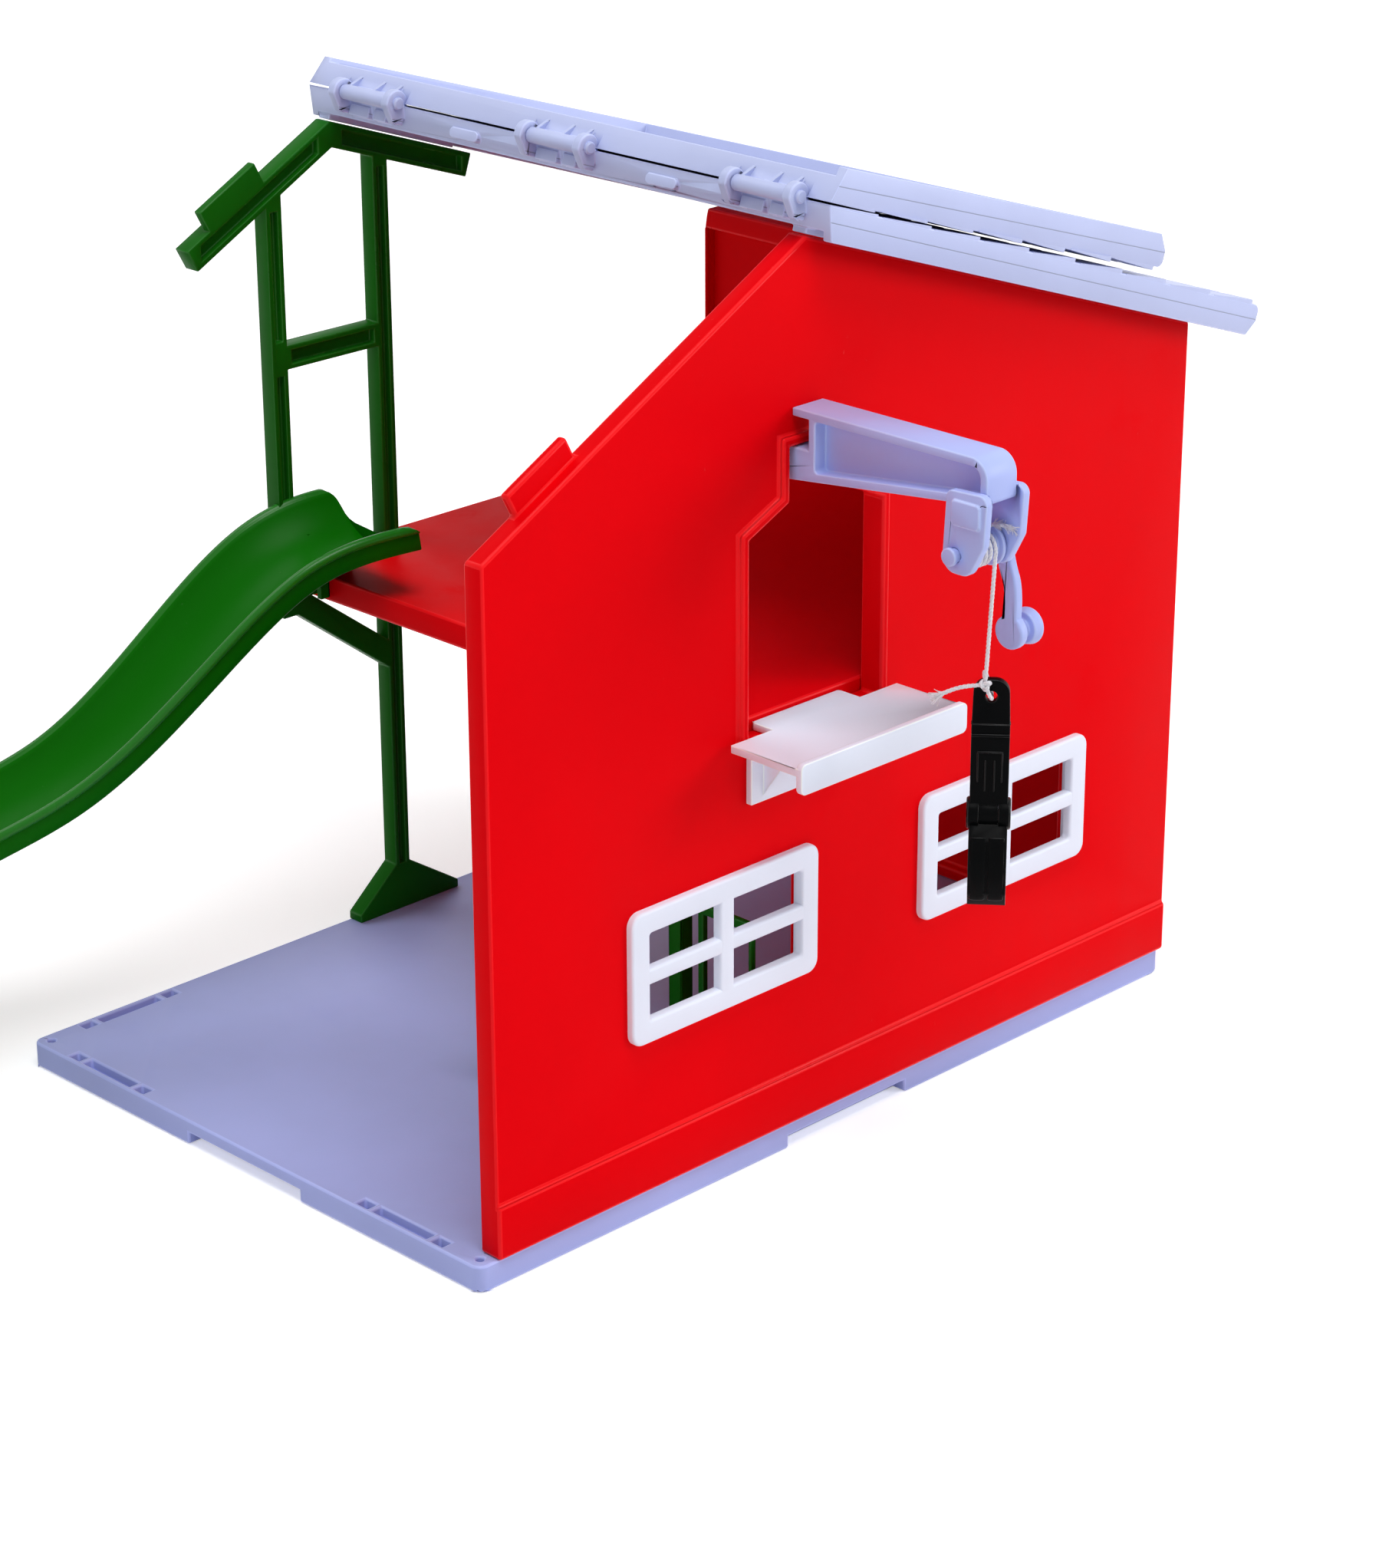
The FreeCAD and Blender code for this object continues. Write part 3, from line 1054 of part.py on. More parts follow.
def gripper_rear_jaw():
    body = gripper_body("gripper_rear_jaw")
    half, width = "-gripper_width / 2", "gripper_width"
    lever = [(0.4, 0), (z.barrel_outer - 0.2, 0), (6.2, 14.2), (4.6, 15), (2.3, 4)]
    pad(body, outline(new_sketch(body, "YZ_Plane", half), lever, [0, 0, 0.8, 0.8, 1]), width)
    jaw = outline(new_sketch(body, "YZ_Plane", half), jaw_points(1), [0, 2, 3, 2, 0.4, 0.4, 1.5, 2, 1.5, 0])
    pad(body, jaw, width)
    for offset, flip in ((half, True), ("gripper_width / 2", False)):
        side = circle(new_sketch(body, "YZ_Plane", offset), 0, 0, z.barrel_outer + z.end_clear)
        pocket(body, side, "knuckle_width + knuckle_clear", reverse=flip)
    knuckle = circle(new_sketch(body, "YZ_Plane", "knuckle_width + knuckle_clear - gripper_width / 2"), 0, 0, z.barrel_outer)
    pad(body, knuckle, "gripper_width - 2 * knuckle_width - 2 * knuckle_clear")
    bore = circle(new_sketch(body, "YZ_Plane", half), 0, 0, z.pivot_radius + z.pin_clear)
    pocket(body, bore, width, reverse=True)
    return body


def gripper_pin():
    body = gripper_body("gripper_pin")
    pad(body, circle(new_sketch(body, "YZ_Plane", "-gripper_width / 2"), 0, 0, z.pivot_radius), "gripper_width")
    return body


def lattice(sketch, length, height):
    """Fence panel with a top rail, a lower rail and upright bars, open under the lower rail."""
    count = max(1, round(length / z.fence_pitch))
    pitch = length / count
    outline(sketch, [(0, z.fence_low_rail), (length, z.fence_low_rail), (length, height), (0, height)])
    for i in range(count):
        left = i * pitch + z.fence_bar / 2
        outline(sketch, box_points(left, z.fence_low_rail + z.fence_rail, (i + 1) * pitch - z.fence_bar / 2,
                                   height - z.fence_rail))
    return sketch


def stall_fence():
    """Two fence panels meeting at a post: one runs to the gable wall, one slants into the stall."""
    body = new_body("stall_fence", "fence_x", "fence_y", "base_thick")
    half = z.fence_post / 2
    pad(body, outline(new_sketch(body, "XY_Plane"), box_points(-half, -half, half, half), 0.6), "fence_height")
    to_wall = z.fence_y - z.wall_depth - z.fence_wall_gap
    for length, turn in ((to_wall, -90), (z.fence_long, z.fence_turn)):
        sketch = new_sketch(body, "XZ_Plane")
        sketch.AttachmentOffset = FreeCAD.Placement(V(0, 0, 0), FreeCAD.Rotation(V(0, 1, 0), turn))
        lattice(sketch, length, z.fence_height - 1)
        pad(body, sketch, "fence_bar")
    way = V(math.cos(math.radians(z.fence_turn)), math.sin(math.radians(z.fence_turn)), 0) * (z.fence_long - half)
    far = new_sketch(body, "XY_Plane")
    outline(far, box_points(way.x - half, way.y - half, way.x + half, way.y + half), 0.6)
    pad(body, far, "fence_height")
    return body


pieces = [base_plate(), gable_wall(), side_wall(), loft_floor(), end_frame(), roof_right_panel(), roof_left_panel()]
pieces += hinge_pins()
pieces += [window_frame("window_left", "window_left_x"), window_frame("window_right", "window_right_x"),
           loading_ledge(), slide_chute(), crane_arm(), winch_cheek("winch_cheek_near", True),
           winch_cheek("winch_cheek_far", False), winch_drum(), winch_crank(), crank_knob(), string_winding(),
           hoist_string(), string_knot(), string_tail(), gripper_front_jaw(), gripper_rear_jaw(), gripper_pin(),
           stall_fence()]
doc.recompute()

for item in doc.Objects:
    if "Invalid" in item.State or "Error" in item.State:
        raise RuntimeError(f"{item.Label} did not compute")

os.makedirs("parts", exist_ok=True)
for piece in pieces:
    shape = piece.Shape
    if shape.isNull() or not shape.isValid() or len(shape.Solids) != 1:
        raise RuntimeError(f"{piece.Label}: {len(shape.Solids)} solids, valid {shape.isValid()}")
    shape.exportStep(f"parts/{piece.Label}.step")
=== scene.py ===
# Toy stable: red walls and loft on a grey base, a folding grey roof, green end frame and slide,
# white windows and ledge, and a hand winch that lifts a black gripper on a string.
# Metres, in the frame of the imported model: X along the gable wall, Y away from it, Z up.
# The routes of slide, crank and string are listed in millimetres.
import bmesh
import bpy
import math
import random
from mathutils import Matrix, Vector


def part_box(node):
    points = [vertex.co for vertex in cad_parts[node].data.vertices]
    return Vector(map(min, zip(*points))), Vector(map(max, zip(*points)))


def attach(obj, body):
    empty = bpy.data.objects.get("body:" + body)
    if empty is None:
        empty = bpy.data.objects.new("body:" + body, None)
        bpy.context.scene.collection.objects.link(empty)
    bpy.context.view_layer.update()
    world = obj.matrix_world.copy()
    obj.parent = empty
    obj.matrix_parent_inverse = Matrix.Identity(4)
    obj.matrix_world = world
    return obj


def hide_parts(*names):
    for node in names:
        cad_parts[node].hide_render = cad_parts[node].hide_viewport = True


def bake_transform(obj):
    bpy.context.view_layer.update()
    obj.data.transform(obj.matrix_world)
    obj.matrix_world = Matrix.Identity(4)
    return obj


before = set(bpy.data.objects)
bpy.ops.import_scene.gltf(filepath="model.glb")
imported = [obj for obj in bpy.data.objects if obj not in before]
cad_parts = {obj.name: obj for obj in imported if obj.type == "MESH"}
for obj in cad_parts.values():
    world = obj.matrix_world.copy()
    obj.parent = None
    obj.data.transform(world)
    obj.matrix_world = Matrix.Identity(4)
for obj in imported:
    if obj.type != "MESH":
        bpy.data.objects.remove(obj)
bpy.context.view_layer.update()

# Camera at the photograph's view: a long lens from the near left, well above the ridge.
# Its place and its angles were fitted to corners of the toy in the photograph.
SENSOR_WIDTH = 36
IMAGE_WIDTH = 1798
FOCAL_PIXELS = 5158.0
CAMERA_PLACE = Vector((-0.57858, -0.60486, 0.40090))
CAMERA_TURN = math.radians(-45.015)
CAMERA_RISE = math.radians(22.255)
CAMERA_ROLL = math.radians(-0.202)

across = Vector((math.cos(CAMERA_TURN), math.sin(CAMERA_TURN), 0))
backward = Vector((math.sin(CAMERA_TURN) * math.cos(CAMERA_RISE),
                   -math.cos(CAMERA_TURN) * math.cos(CAMERA_RISE), math.sin(CAMERA_RISE)))
upward = backward.cross(across)
rolled_across = across * math.cos(CAMERA_ROLL) + upward * math.sin(CAMERA_ROLL)
rolled_up = upward * math.cos(CAMERA_ROLL) - across * math.sin(CAMERA_ROLL)

lens = bpy.data.cameras.new("studio_camera")
lens.sensor_fit = "HORIZONTAL"
lens.sensor_width = SENSOR_WIDTH
lens.lens = SENSOR_WIDTH * FOCAL_PIXELS / IMAGE_WIDTH
camera = bpy.data.objects.new("studio_camera", lens)
bpy.context.scene.collection.objects.link(camera)
axes = Matrix((rolled_across, rolled_up, backward)).transposed().to_4x4()
camera.matrix_world = Matrix.Translation(CAMERA_PLACE) @ axes
bpy.context.scene.camera = camera
bpy.context.scene.view_settings.view_transform = "Standard"


# Studio: a soft key from the front right, a top light, a back light and a weak fill from the left.
# The surround and the floor are white to the camera, and the floor keeps a faint contact shadow.
STAGE_MIDDLE = (0, 0, 0.1)
SURROUND_GLOW = 0.34


class Signal:
    """A node's output socket, which takes part in Python arithmetic."""

    def __init__(self, nodes, socket):
        self.nodes = nodes
        self.socket = socket

    def math(self, operation, first, second=0.0):
        return self.nodes.node("ShaderNodeMath", {0: first, 1: second}, operation=operation)

    def __add__(self, other):
        return self.math("ADD", self, other)

    __radd__ = __add__

    def __sub__(self, other):
        return self.math("SUBTRACT", self, other)

    def __rsub__(self, other):
        return self.math("SUBTRACT", other, self)

    def __mul__(self, other):
        return self.math("MULTIPLY", self, other)

    __rmul__ = __mul__

    def __truediv__(self, other):
        return self.math("DIVIDE", self, other)

    def __mod__(self, other):
        return self.math("FLOORED_MODULO", self, other)

    def __gt__(self, other):
        return self.math("GREATER_THAN", self, other)

    def __abs__(self):
        return self.math("ABSOLUTE", self)


class Nodes:
    """A node tree, of a material or of a geometry group."""

    def __init__(self, tree):
        self.tree = tree

    def node(self, kind, sockets=None, output=0, **settings):
        made = self.tree.nodes.new(kind)
        for name, value in settings.items():
            setattr(made, name, value)
        for name, value in (sockets or {}).items():
            self.feed(made.inputs[name], value)
        return Signal(self, made.outputs[output])

    def feed(self, socket, value):
        if isinstance(value, Signal):
            self.tree.links.new(value.socket, socket)
        else:
            socket.default_value = value


def soft_light(name, place, size, watts):
    light = bpy.data.lights.new(name, "AREA")
    light.shape = "DISK"
    light.size = size
    light.energy = watts
    lamp = bpy.data.objects.new(name, light)
    bpy.context.scene.collection.objects.link(lamp)
    lamp.location = place
    lamp.rotation_euler = (Vector(STAGE_MIDDLE) - Vector(place)).to_track_quat("-Z", "Y").to_euler()


soft_light("key_softbox", (0.95, -1.25, 0.65), size=0.8, watts=10.5)
soft_light("top_softbox", (-0.25, -0.40, 1.5), size=0.8, watts=11)
soft_light("back_softbox", (-0.3, 0.9, 1.4), size=0.9, watts=5)
soft_light("left_fill", (-1.5, -0.2, 0.7), size=0.8, watts=1.5)


def background_rays(nodes):
    """1 for the rays that find a white background: the camera's, mirrored ones and those through glass."""
    found = 0
    for kind in ("Is Camera Ray", "Is Glossy Ray", "Is Transmission Ray"):
        found = nodes.node("ShaderNodeLightPath", output=kind) + found
    return found


world = bpy.data.worlds.new("studio_surround")
bpy.context.scene.world = world
world.use_nodes = True
surround = Nodes(world.node_tree)
sky = world.node_tree.nodes["Background"]
sky.inputs["Color"].default_value = (1, 1, 1, 1)
surround.feed(sky.inputs["Strength"], SURROUND_GLOW + (1 - SURROUND_GLOW) * background_rays(surround))

# Floor: a flat white ground, just below the base, that glows a little for the camera.
# The glow grows with distance, so that the ground reads as paper white up to the horizon.
FLOOR_REACH, FLOOR_DROP = 6, 0.0002
NEAR_GLOW, FAR_GLOW = 0.42, 1.008
FAR_START, FAR_FULL = 0.5, 1.8


class Finish(Nodes):
    """One material and the nodes that feed its shader."""

    def __init__(self, name):
        self.material = bpy.data.materials.new(name)
        self.material.use_nodes = True
        super().__init__(self.material.node_tree)
        self.shader = self.tree.nodes["Principled BSDF"]
        self.place = self.node("ShaderNodeTexCoord", output="Object")

    def shade(self, **sockets):
        for name, value in sockets.items():
            self.feed(self.shader.inputs[name.replace("_", " ").title().replace("Ior", "IOR")], value)
        return self.material

    def noise(self, scale, detail=3, roughness=0.55, place=None):
        sockets = {"Vector": place or self.place, "Scale": scale, "Detail": detail, "Roughness": roughness}
        return self.node("ShaderNodeTexNoise", sockets)

    def stretched(self, scale, turn=(0, 0, 0)):
        return self.node("ShaderNodeMapping", {"Vector": self.place, "Rotation": turn, "Scale": scale})

    def along(self, way, start):
        """Distance in a direction from a point."""
        moved = self.node("ShaderNodeVectorMath", {0: self.place, 1: start}, operation="SUBTRACT")
        return self.node("ShaderNodeVectorMath", {0: moved, 1: way}, output=1, operation="DOT_PRODUCT")

    def facing(self, way):
        """How squarely a surface faces a direction."""
        normal = self.node("ShaderNodeNewGeometry", output="True Normal")
        return self.node("ShaderNodeVectorMath", {0: normal, 1: way}, output=1, operation="DOT_PRODUCT")

    def ramp(self, signal, low, high):
        """0 below low, 1 above high, smooth between."""
        return self.node("ShaderNodeMapRange", {"Value": signal, "From Min": low, "From Max": high},
                         interpolation_type="SMOOTHSTEP")

    def mix(self, factor, first, second):
        return self.node("ShaderNodeMix", {0: factor, 6: first, 7: second}, output=2, data_type="RGBA")

    def bump(self, height, strength=0.35, distance=0.0004):
        return self.node("ShaderNodeBump", {"Strength": strength, "Distance": distance, "Height": height})


floor_mesh = bpy.data.meshes.new("studio_floor")
corners = [(x * FLOOR_REACH, y * FLOOR_REACH, 0) for x, y in ((-1, -1), (1, -1), (1, 1), (-1, 1))]
floor_mesh.from_pydata(corners, [], [(0, 1, 2, 3)])
floor = bpy.data.objects.new("studio_floor", floor_mesh)
floor.location.z = -FLOOR_DROP
bpy.context.scene.collection.objects.link(floor)
floor_paint = Finish("studio_floor_paint")
seen = background_rays(floor_paint)
away = floor_paint.node("ShaderNodeVectorMath", {0: floor_paint.place}, output=1, operation="LENGTH")
far = floor_paint.ramp(away, FAR_START, FAR_FULL)
paper = floor_paint.mix(floor_paint.noise(3), (0.90, 0.90, 0.91, 1), (0.92, 0.92, 0.92, 1))
glow = floor_paint.mix(far, (NEAR_GLOW, NEAR_GLOW, NEAR_GLOW, 1), (FAR_GLOW, FAR_GLOW, FAR_GLOW, 1))
floor_mesh.materials.append(floor_paint.shade(
    base_color=paper, roughness=0.9, specular_ior_level=0.1,
    emission_color=floor_paint.mix(seen, (0, 0, 0, 1), glow), emission_strength=1))


# Base plate: one flat grey injection moulding with slots for the walls and finger recesses.
# The plastic has a fine spark-eroded grain, faint flow marks and a few rubbed patches.
def mixed(first, second, share):
    return (*(a + (b - a) * share for a, b in zip(first, second)), 1)


def plastic_surface(name, colour, shine, rough, flow, rub, grain, lines):
    """Satin moulding: flow marks, rubbed patches, fine grain, hair scratches, dust and any scribed lines,
    which are dipped and darkened as painted shade in their groove.
    """
    finish = Finish(name)
    drift = finish.ramp(finish.noise(22, 4), 0.3, 0.7)
    streak = finish.ramp(finish.noise(1, 3, place=finish.stretched((140, 140, 9))), 0.35, 0.75)
    body = finish.mix(drift, mixed(colour, (0, 0, 0), 1.6 * flow), (*colour, 1))
    body = finish.mix(streak * (4 * flow), body, mixed(colour, (0, 0, 0), 1.2 * flow))
    hairs = finish.stretched((900, 60, 420), (0.5, 0.3, 0.7))
    scratch = finish.ramp(finish.noise(1, 2, place=hairs), 0.7, 0.78)
    rubbed = finish.ramp(finish.noise(48, 5, 0.7), 0.58, 0.72)
    upward_side = finish.ramp(finish.facing((0, -0.3, 0.95)), -0.2, 0.9)
    dust = finish.ramp(finish.noise(900, 1), 0.76, 0.82) * upward_side
    body = finish.mix(scratch * rubbed * rub + dust * (0.5 * rub), body, mixed(colour, (1, 1, 1), 0.4))
    roughness = rough + 0.08 * drift + 0.12 * rubbed - 0.05 * streak
    height = finish.noise(2600, 2) * grain + 0.04 * drift - 0.05 * scratch * rubbed
    if lines:
        groove_shade = lines(finish)
        # The scribed line darkens the colour as painted shade in its groove, and dips the bump.
        body = finish.mix(groove_shade * 0.55, body, mixed(colour, (0, 0, 0), 0.75))
        height = height - 0.8 * groove_shade
    return finish.shade(base_color=body, roughness=roughness, specular_ior_level=shine,
                        normal=finish.bump(height))


def moulded_plastic(name, colour, shine=0.3, rough=0.36, flow=0.05, rub=0.2, grain=0.05, edge_shine=0.3,
                    lines=None):
    """Finish of a moulding's faces and of its rounded edges, which handling leaves shinier and which are
    paler, partly from wear and partly as a painted highlight.
    """
    gain, lift, polish = 1.15, 0.006, 0.1
    # The edges' paler colour is partly rubbed wear and partly a painted highlight on the rounded edges.
    edge_wear_and_highlight_colour = tuple(min(1, gain * part + lift) for part in colour)
    return (plastic_surface(name, colour, shine, rough, flow, rub, grain, lines),
            plastic_surface(name + "_edge", edge_wear_and_highlight_colour, edge_shine, rough - polish, flow, rub, grain, lines))


def new_piece(name, shape, materials):
    """Object of a finished bmesh, linked to the scene."""
    mesh = bpy.data.meshes.new(name)
    bmesh.ops.recalc_face_normals(shape, faces=shape.faces)
    shape.to_mesh(mesh)
    shape.free()
    for material in materials:
        mesh.materials.append(material)
    piece = bpy.data.objects.new(name, mesh)
    bpy.context.scene.collection.objects.link(piece)
    return piece


def finished_mesh(piece, sharp_angle=42):
    """Bakes a piece's modifiers into a plain mesh with smooth shading."""
    ready = piece.evaluated_get(bpy.context.evaluated_depsgraph_get())
    mesh = bpy.data.meshes.new_from_object(ready)
    piece.modifiers.clear()
    piece.data = mesh
    mesh.polygons.foreach_set("use_smooth", [True] * len(mesh.polygons))
    mesh.set_sharp_from_angle(angle=math.radians(sharp_angle))
    return piece


def rounded_edges(piece, radius, segments, least_angle=35):
    rounding = piece.modifiers.new("edge_radius", "BEVEL")
    rounding.width = radius
    rounding.segments = segments
    rounding.limit_method = "ANGLE"
    rounding.angle_limit = math.radians(least_angle)
    rounding.use_clamp_overlap = False
    # The rounded strips take the paler edge finish: partly wear, partly a painted highlight.
    rounding.material = 1


def dress(piece, body, slot, *nodes):
    """Puts a finished piece on its body in place of the named nodes; the slot argument is not used."""
    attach(piece, body)
    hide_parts(*nodes)


def moulded_shell(node, body, slot, materials, radius, segments=2, change=None):
    """Copy of a moulded node with its edges rounded as a mould leaves them; it stands for the node."""
    weld, flat_angle = 2e-6, math.radians(0.6)
    shape = bmesh.new()
    shape.from_mesh(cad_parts[node].data)
    bmesh.ops.remove_doubles(shape, verts=shape.verts, dist=weld)
    if change:
        change(shape)
        bmesh.ops.remove_doubles(shape, verts=shape.verts, dist=weld)
    bmesh.ops.dissolve_limit(shape, angle_limit=flat_angle, verts=shape.verts, edges=shape.edges)
    bmesh.ops.connect_verts_concave(shape, faces=shape.faces)
    piece = new_piece(node + "_shell", shape, materials)
    rounded_edges(piece, radius, segments)
    dress(finished_mesh(piece), body, slot, node)


base_grey = moulded_plastic("base_grey", (0.385, 0.435, 0.80), shine=0.2, rough=0.42)
moulded_shell("base_plate", "stable", "grey_plastic", base_grey, radius=0.0005)

# Gable wall, side wall and loft floor: red mouldings that clip into the base and into each other.
# Their edges are well rounded, and the door has a raised round trim.
wall_red = moulded_plastic("wall_red", (0.79, 0.0003, 0.0035), shine=0.02, rough=0.4, flow=0.03, rub=0.10,
                           edge_shine=0.1)
moulded_shell("gable_wall", "stable", "red_plastic", wall_red, radius=0.0007, segments=3)
FAR_EDGE_BACK, FAR_EDGE_BAND = 0.0041, 0.0002
TOP_EDGE_UP, TOP_EDGE_BAND = 0.0022, 0.0008


def trimmed_wall(shape):
    """Brings the wall's far edge forward and its top edge up, as they show behind the gable."""
    far_edge, top_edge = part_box("side_wall")[1][1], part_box("side_wall")[1][2]
    for vert in shape.verts:
        if vert.co.y > far_edge - FAR_EDGE_BAND:
            vert.co.y -= FAR_EDGE_BACK
        if vert.co.z > top_edge - TOP_EDGE_BAND:
            vert.co.z += TOP_EDGE_UP


moulded_shell("side_wall", "stable", "red_plastic", wall_red, radius=0.0006, segments=3, change=trimmed_wall)
moulded_shell("loft_floor", "stable", "red_plastic", wall_red, radius=0.0006, segments=3)

# End frame and stall fence: dark green mouldings, the frame with a channel along its inner face.
# Both stand on the base, and their edges are sharper than those of the walls.
frame_green = moulded_plastic("frame_green", (0.007, 0.125, 0.004), shine=0.04, rough=0.32, flow=0.06,
                              rub=0.1, edge_shine=0.15)
moulded_shell("end_frame", "stable", "green_plastic", frame_green, radius=0.0003)
moulded_shell("stall_fence", "stable", "green_plastic", frame_green, radius=0.0003)

# Slide: one smooth green trough with side skirts and a rolled rim, hooked on the edge of the loft.
# It swings to the far side while it goes over a crest, across a flatter stretch and down to a level foot.
SLIDE_ROUTE = [(-22, 52.1, 118.6), (-30.4, 52.8, 118.8), (-47.1, 57.6, 117.7), (-72.3, 65.6, 93.1),
               (-97.4, 76.1, 67.2), (-122.5, 90, 58.6), (-147.6, 102, 38), (-172.8, 107.3, 16),
               (-189.5, 107.3, 13.5), (-197.9, 107.3, 13.5)]
TROUGH_HALF, TROUGH_DEPTH, TROUGH_SKIN = 0.0162, 0.0098, 0.0015
SKIRT_HALF, SKIRT_DROP, SKIRT_SKIN = 0.0176, 0.0062, 0.0016
RIM_LIP, RIM_DROP = 0.0011, 0.0018
RIM_SINK, SKIRT_ROUND = 0.0003, 0.0004
TROUGH_STEPS, RIM_STEPS, UNDER_STEPS = 20, 9, 14
# Strips of the section on the rolled rim, which take the paler edge finish as a painted highlight along both
# rims.
RIM_HIGHLIGHT_STRIPS = range(TROUGH_STEPS, TROUGH_STEPS + RIM_STEPS + 2)
HEAD_SCOOP, SCOOP_POWER = 0.0045, 6
SLIDE_SPACING, SLIDE_STEPS, LOOK_AHEAD, LOOK_BACK = 0.0005, 170, 4, 3
LOFT_EDGE, LOFT_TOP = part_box("loft_floor")[0][0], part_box("loft_floor")[1][2]
HOOK_REACH, HOOK_THICK, HOOK_WIDTH, HOOK_DROP, HOOK_CLEAR = 0.007, 0.0022, 0.0014, 0.005, 0.0003
HOOK_PLACES = [(0.0080, 0.1092), (0.0120, 0.1113)]


def read_route(points, spacing=0.00025, order=3):
    """Points at an even spacing along a smooth spline with the given control points."""
    curve = bpy.data.curves.new("route", "CURVE")
    curve.dimensions = "3D"
    curve.resolution_u = 24
    spline = curve.splines.new("NURBS")
    spline.points.add(len(points) - 1)
    for control, point in zip(spline.points, points):
        control.co = (*point, 1)
    spline.order_u = order
    spline.use_endpoint_u = True
    holder = bpy.data.objects.new("route", curve)
    mesh = bpy.data.meshes.new_from_object(holder)
    spots = [vertex.co.copy() for vertex in mesh.vertices]
    bpy.data.objects.remove(holder)
    bpy.data.curves.remove(curve)
    bpy.data.meshes.remove(mesh)
    lengths = [0]
    for before, after in zip(spots, spots[1:]):
        lengths.append(lengths[-1] + (after - before).length)
    count = max(4, round(lengths[-1] / spacing))
    even, k = [], 0
    for i in range(count + 1):
        wanted = lengths[-1] * i / count
        while k < len(spots) - 2 and lengths[k + 1] < wanted:
            k += 1
        span = max(lengths[k + 1] - lengths[k], 1e-9)
        even.append(spots[k].lerp(spots[k + 1], min(1, (wanted - lengths[k]) / span)))
    return even


def arc_points(centre, radius, first, last, steps):
    return [(centre[0] + radius * math.cos(first + (last - first) * i / steps),
             centre[1] + radius * math.sin(first + (last - first) * i / steps)) for i in range(steps + 1)]


def circle_points(radius, sides):
    return arc_points((0, 0), radius, 0, 2 * math.pi * (sides - 1) / sides, sides - 1)


def ring_skin(shape, rings, closed=True):
    """Faces between rings of equal length, with an end face on the first and the last ring."""
    count = len(rings[0])
    for before, after in zip(rings, rings[1:]):
        for j in range(count):
            k = (j + 1) % count
            shape.faces.new((before[j], before[k], after[k], after[j]))
    if closed:
        ends = [shape.faces.new(rings[0]), shape.faces.new(rings[-1])]
        bmesh.ops.triangulate(shape, faces=[end for end in ends if len(end.verts) > 4])


slide_line = read_route([Vector(point) / 1000 for point in SLIDE_ROUTE], SLIDE_SPACING, order=4)


def slide_spot(share):
    """Point on the rim line, sideways direction and upward direction at a share of the slide's length."""
    place = share * (len(slide_line) - 1)
    k = min(int(place), len(slide_line) - 2)
    ahead = slide_line[min(k + LOOK_AHEAD, len(slide_line) - 1)] - slide_line[max(k - LOOK_BACK, 0)]
    ahead.normalize()
    side = Vector((ahead.y, -ahead.x, 0)).normalized()
    return slide_line[k].lerp(slide_line[k + 1], place - k), side, side.cross(ahead)


def trough_profile():
    """Half of the section from the trough's bottom over the rolled rim to the underside."""
    radius = (TROUGH_HALF ** 2 + TROUGH_DEPTH ** 2) / (2 * TROUGH_DEPTH)
    centre = radius - TROUGH_DEPTH
    outer = radius + TROUGH_SKIN
    inside = SKIRT_HALF - SKIRT_SKIN
    rim_end = math.asin(TROUGH_HALF / radius)
    rolled = (SKIRT_HALF + RIM_LIP - TROUGH_HALF) / 2
    rim_centre = (TROUGH_HALF + rolled, -rolled * 0.8)
    points = arc_points((0, centre), radius, -math.pi / 2, rim_end * 0.97 - math.pi / 2, TROUGH_STEPS)
    points += arc_points(rim_centre, rolled, math.radians(150), math.radians(-20), RIM_STEPS)
    points += [(SKIRT_HALF + RIM_LIP * 0.55, -RIM_DROP), (SKIRT_HALF, -RIM_DROP - RIM_SINK)]
    points += [(SKIRT_HALF, -SKIRT_DROP + SKIRT_ROUND), (SKIRT_HALF - SKIRT_ROUND, -SKIRT_DROP)]
    points += [(inside + SKIRT_ROUND, -SKIRT_DROP)]
    points += arc_points((0, centre), outer, -math.acos(inside / outer), -math.pi / 2, UNDER_STEPS)
    return points


def slide_mesh():
    """Trough led along the route, with a scooped head and the rim in the edge's paler finish, as a painted
    highlight.
    """
    half = trough_profile()
    section = half + [(-a, b) for a, b in reversed(half[1:-1])]
    scoop = HEAD_SCOOP / (SLIDE_SPACING * (len(slide_line) - 1))
    shape = bmesh.new()
    rings = []
    for i in range(SLIDE_STEPS + 1):
        ring = []
        for a, b in section:
            lift = min(1, max(0, (b + TROUGH_DEPTH) / TROUGH_DEPTH))
            start = scoop * (1 - math.sqrt(1 - 0.999 * lift ** SCOOP_POWER))
            spot, side, up = slide_spot(start + (1 - start) * i / SLIDE_STEPS)
            ring.append(shape.verts.new(spot + side * a + up * b))
        rings.append(ring)
    ring_skin(shape, rings)
    shape.faces.ensure_lookup_table()
    for number in range(SLIDE_STEPS * len(section)):
        strip = number % len(section)
        if min(strip, len(section) - 1 - strip) in RIM_HIGHLIGHT_STRIPS:
            shape.faces[number].material_index = 1
    return shape


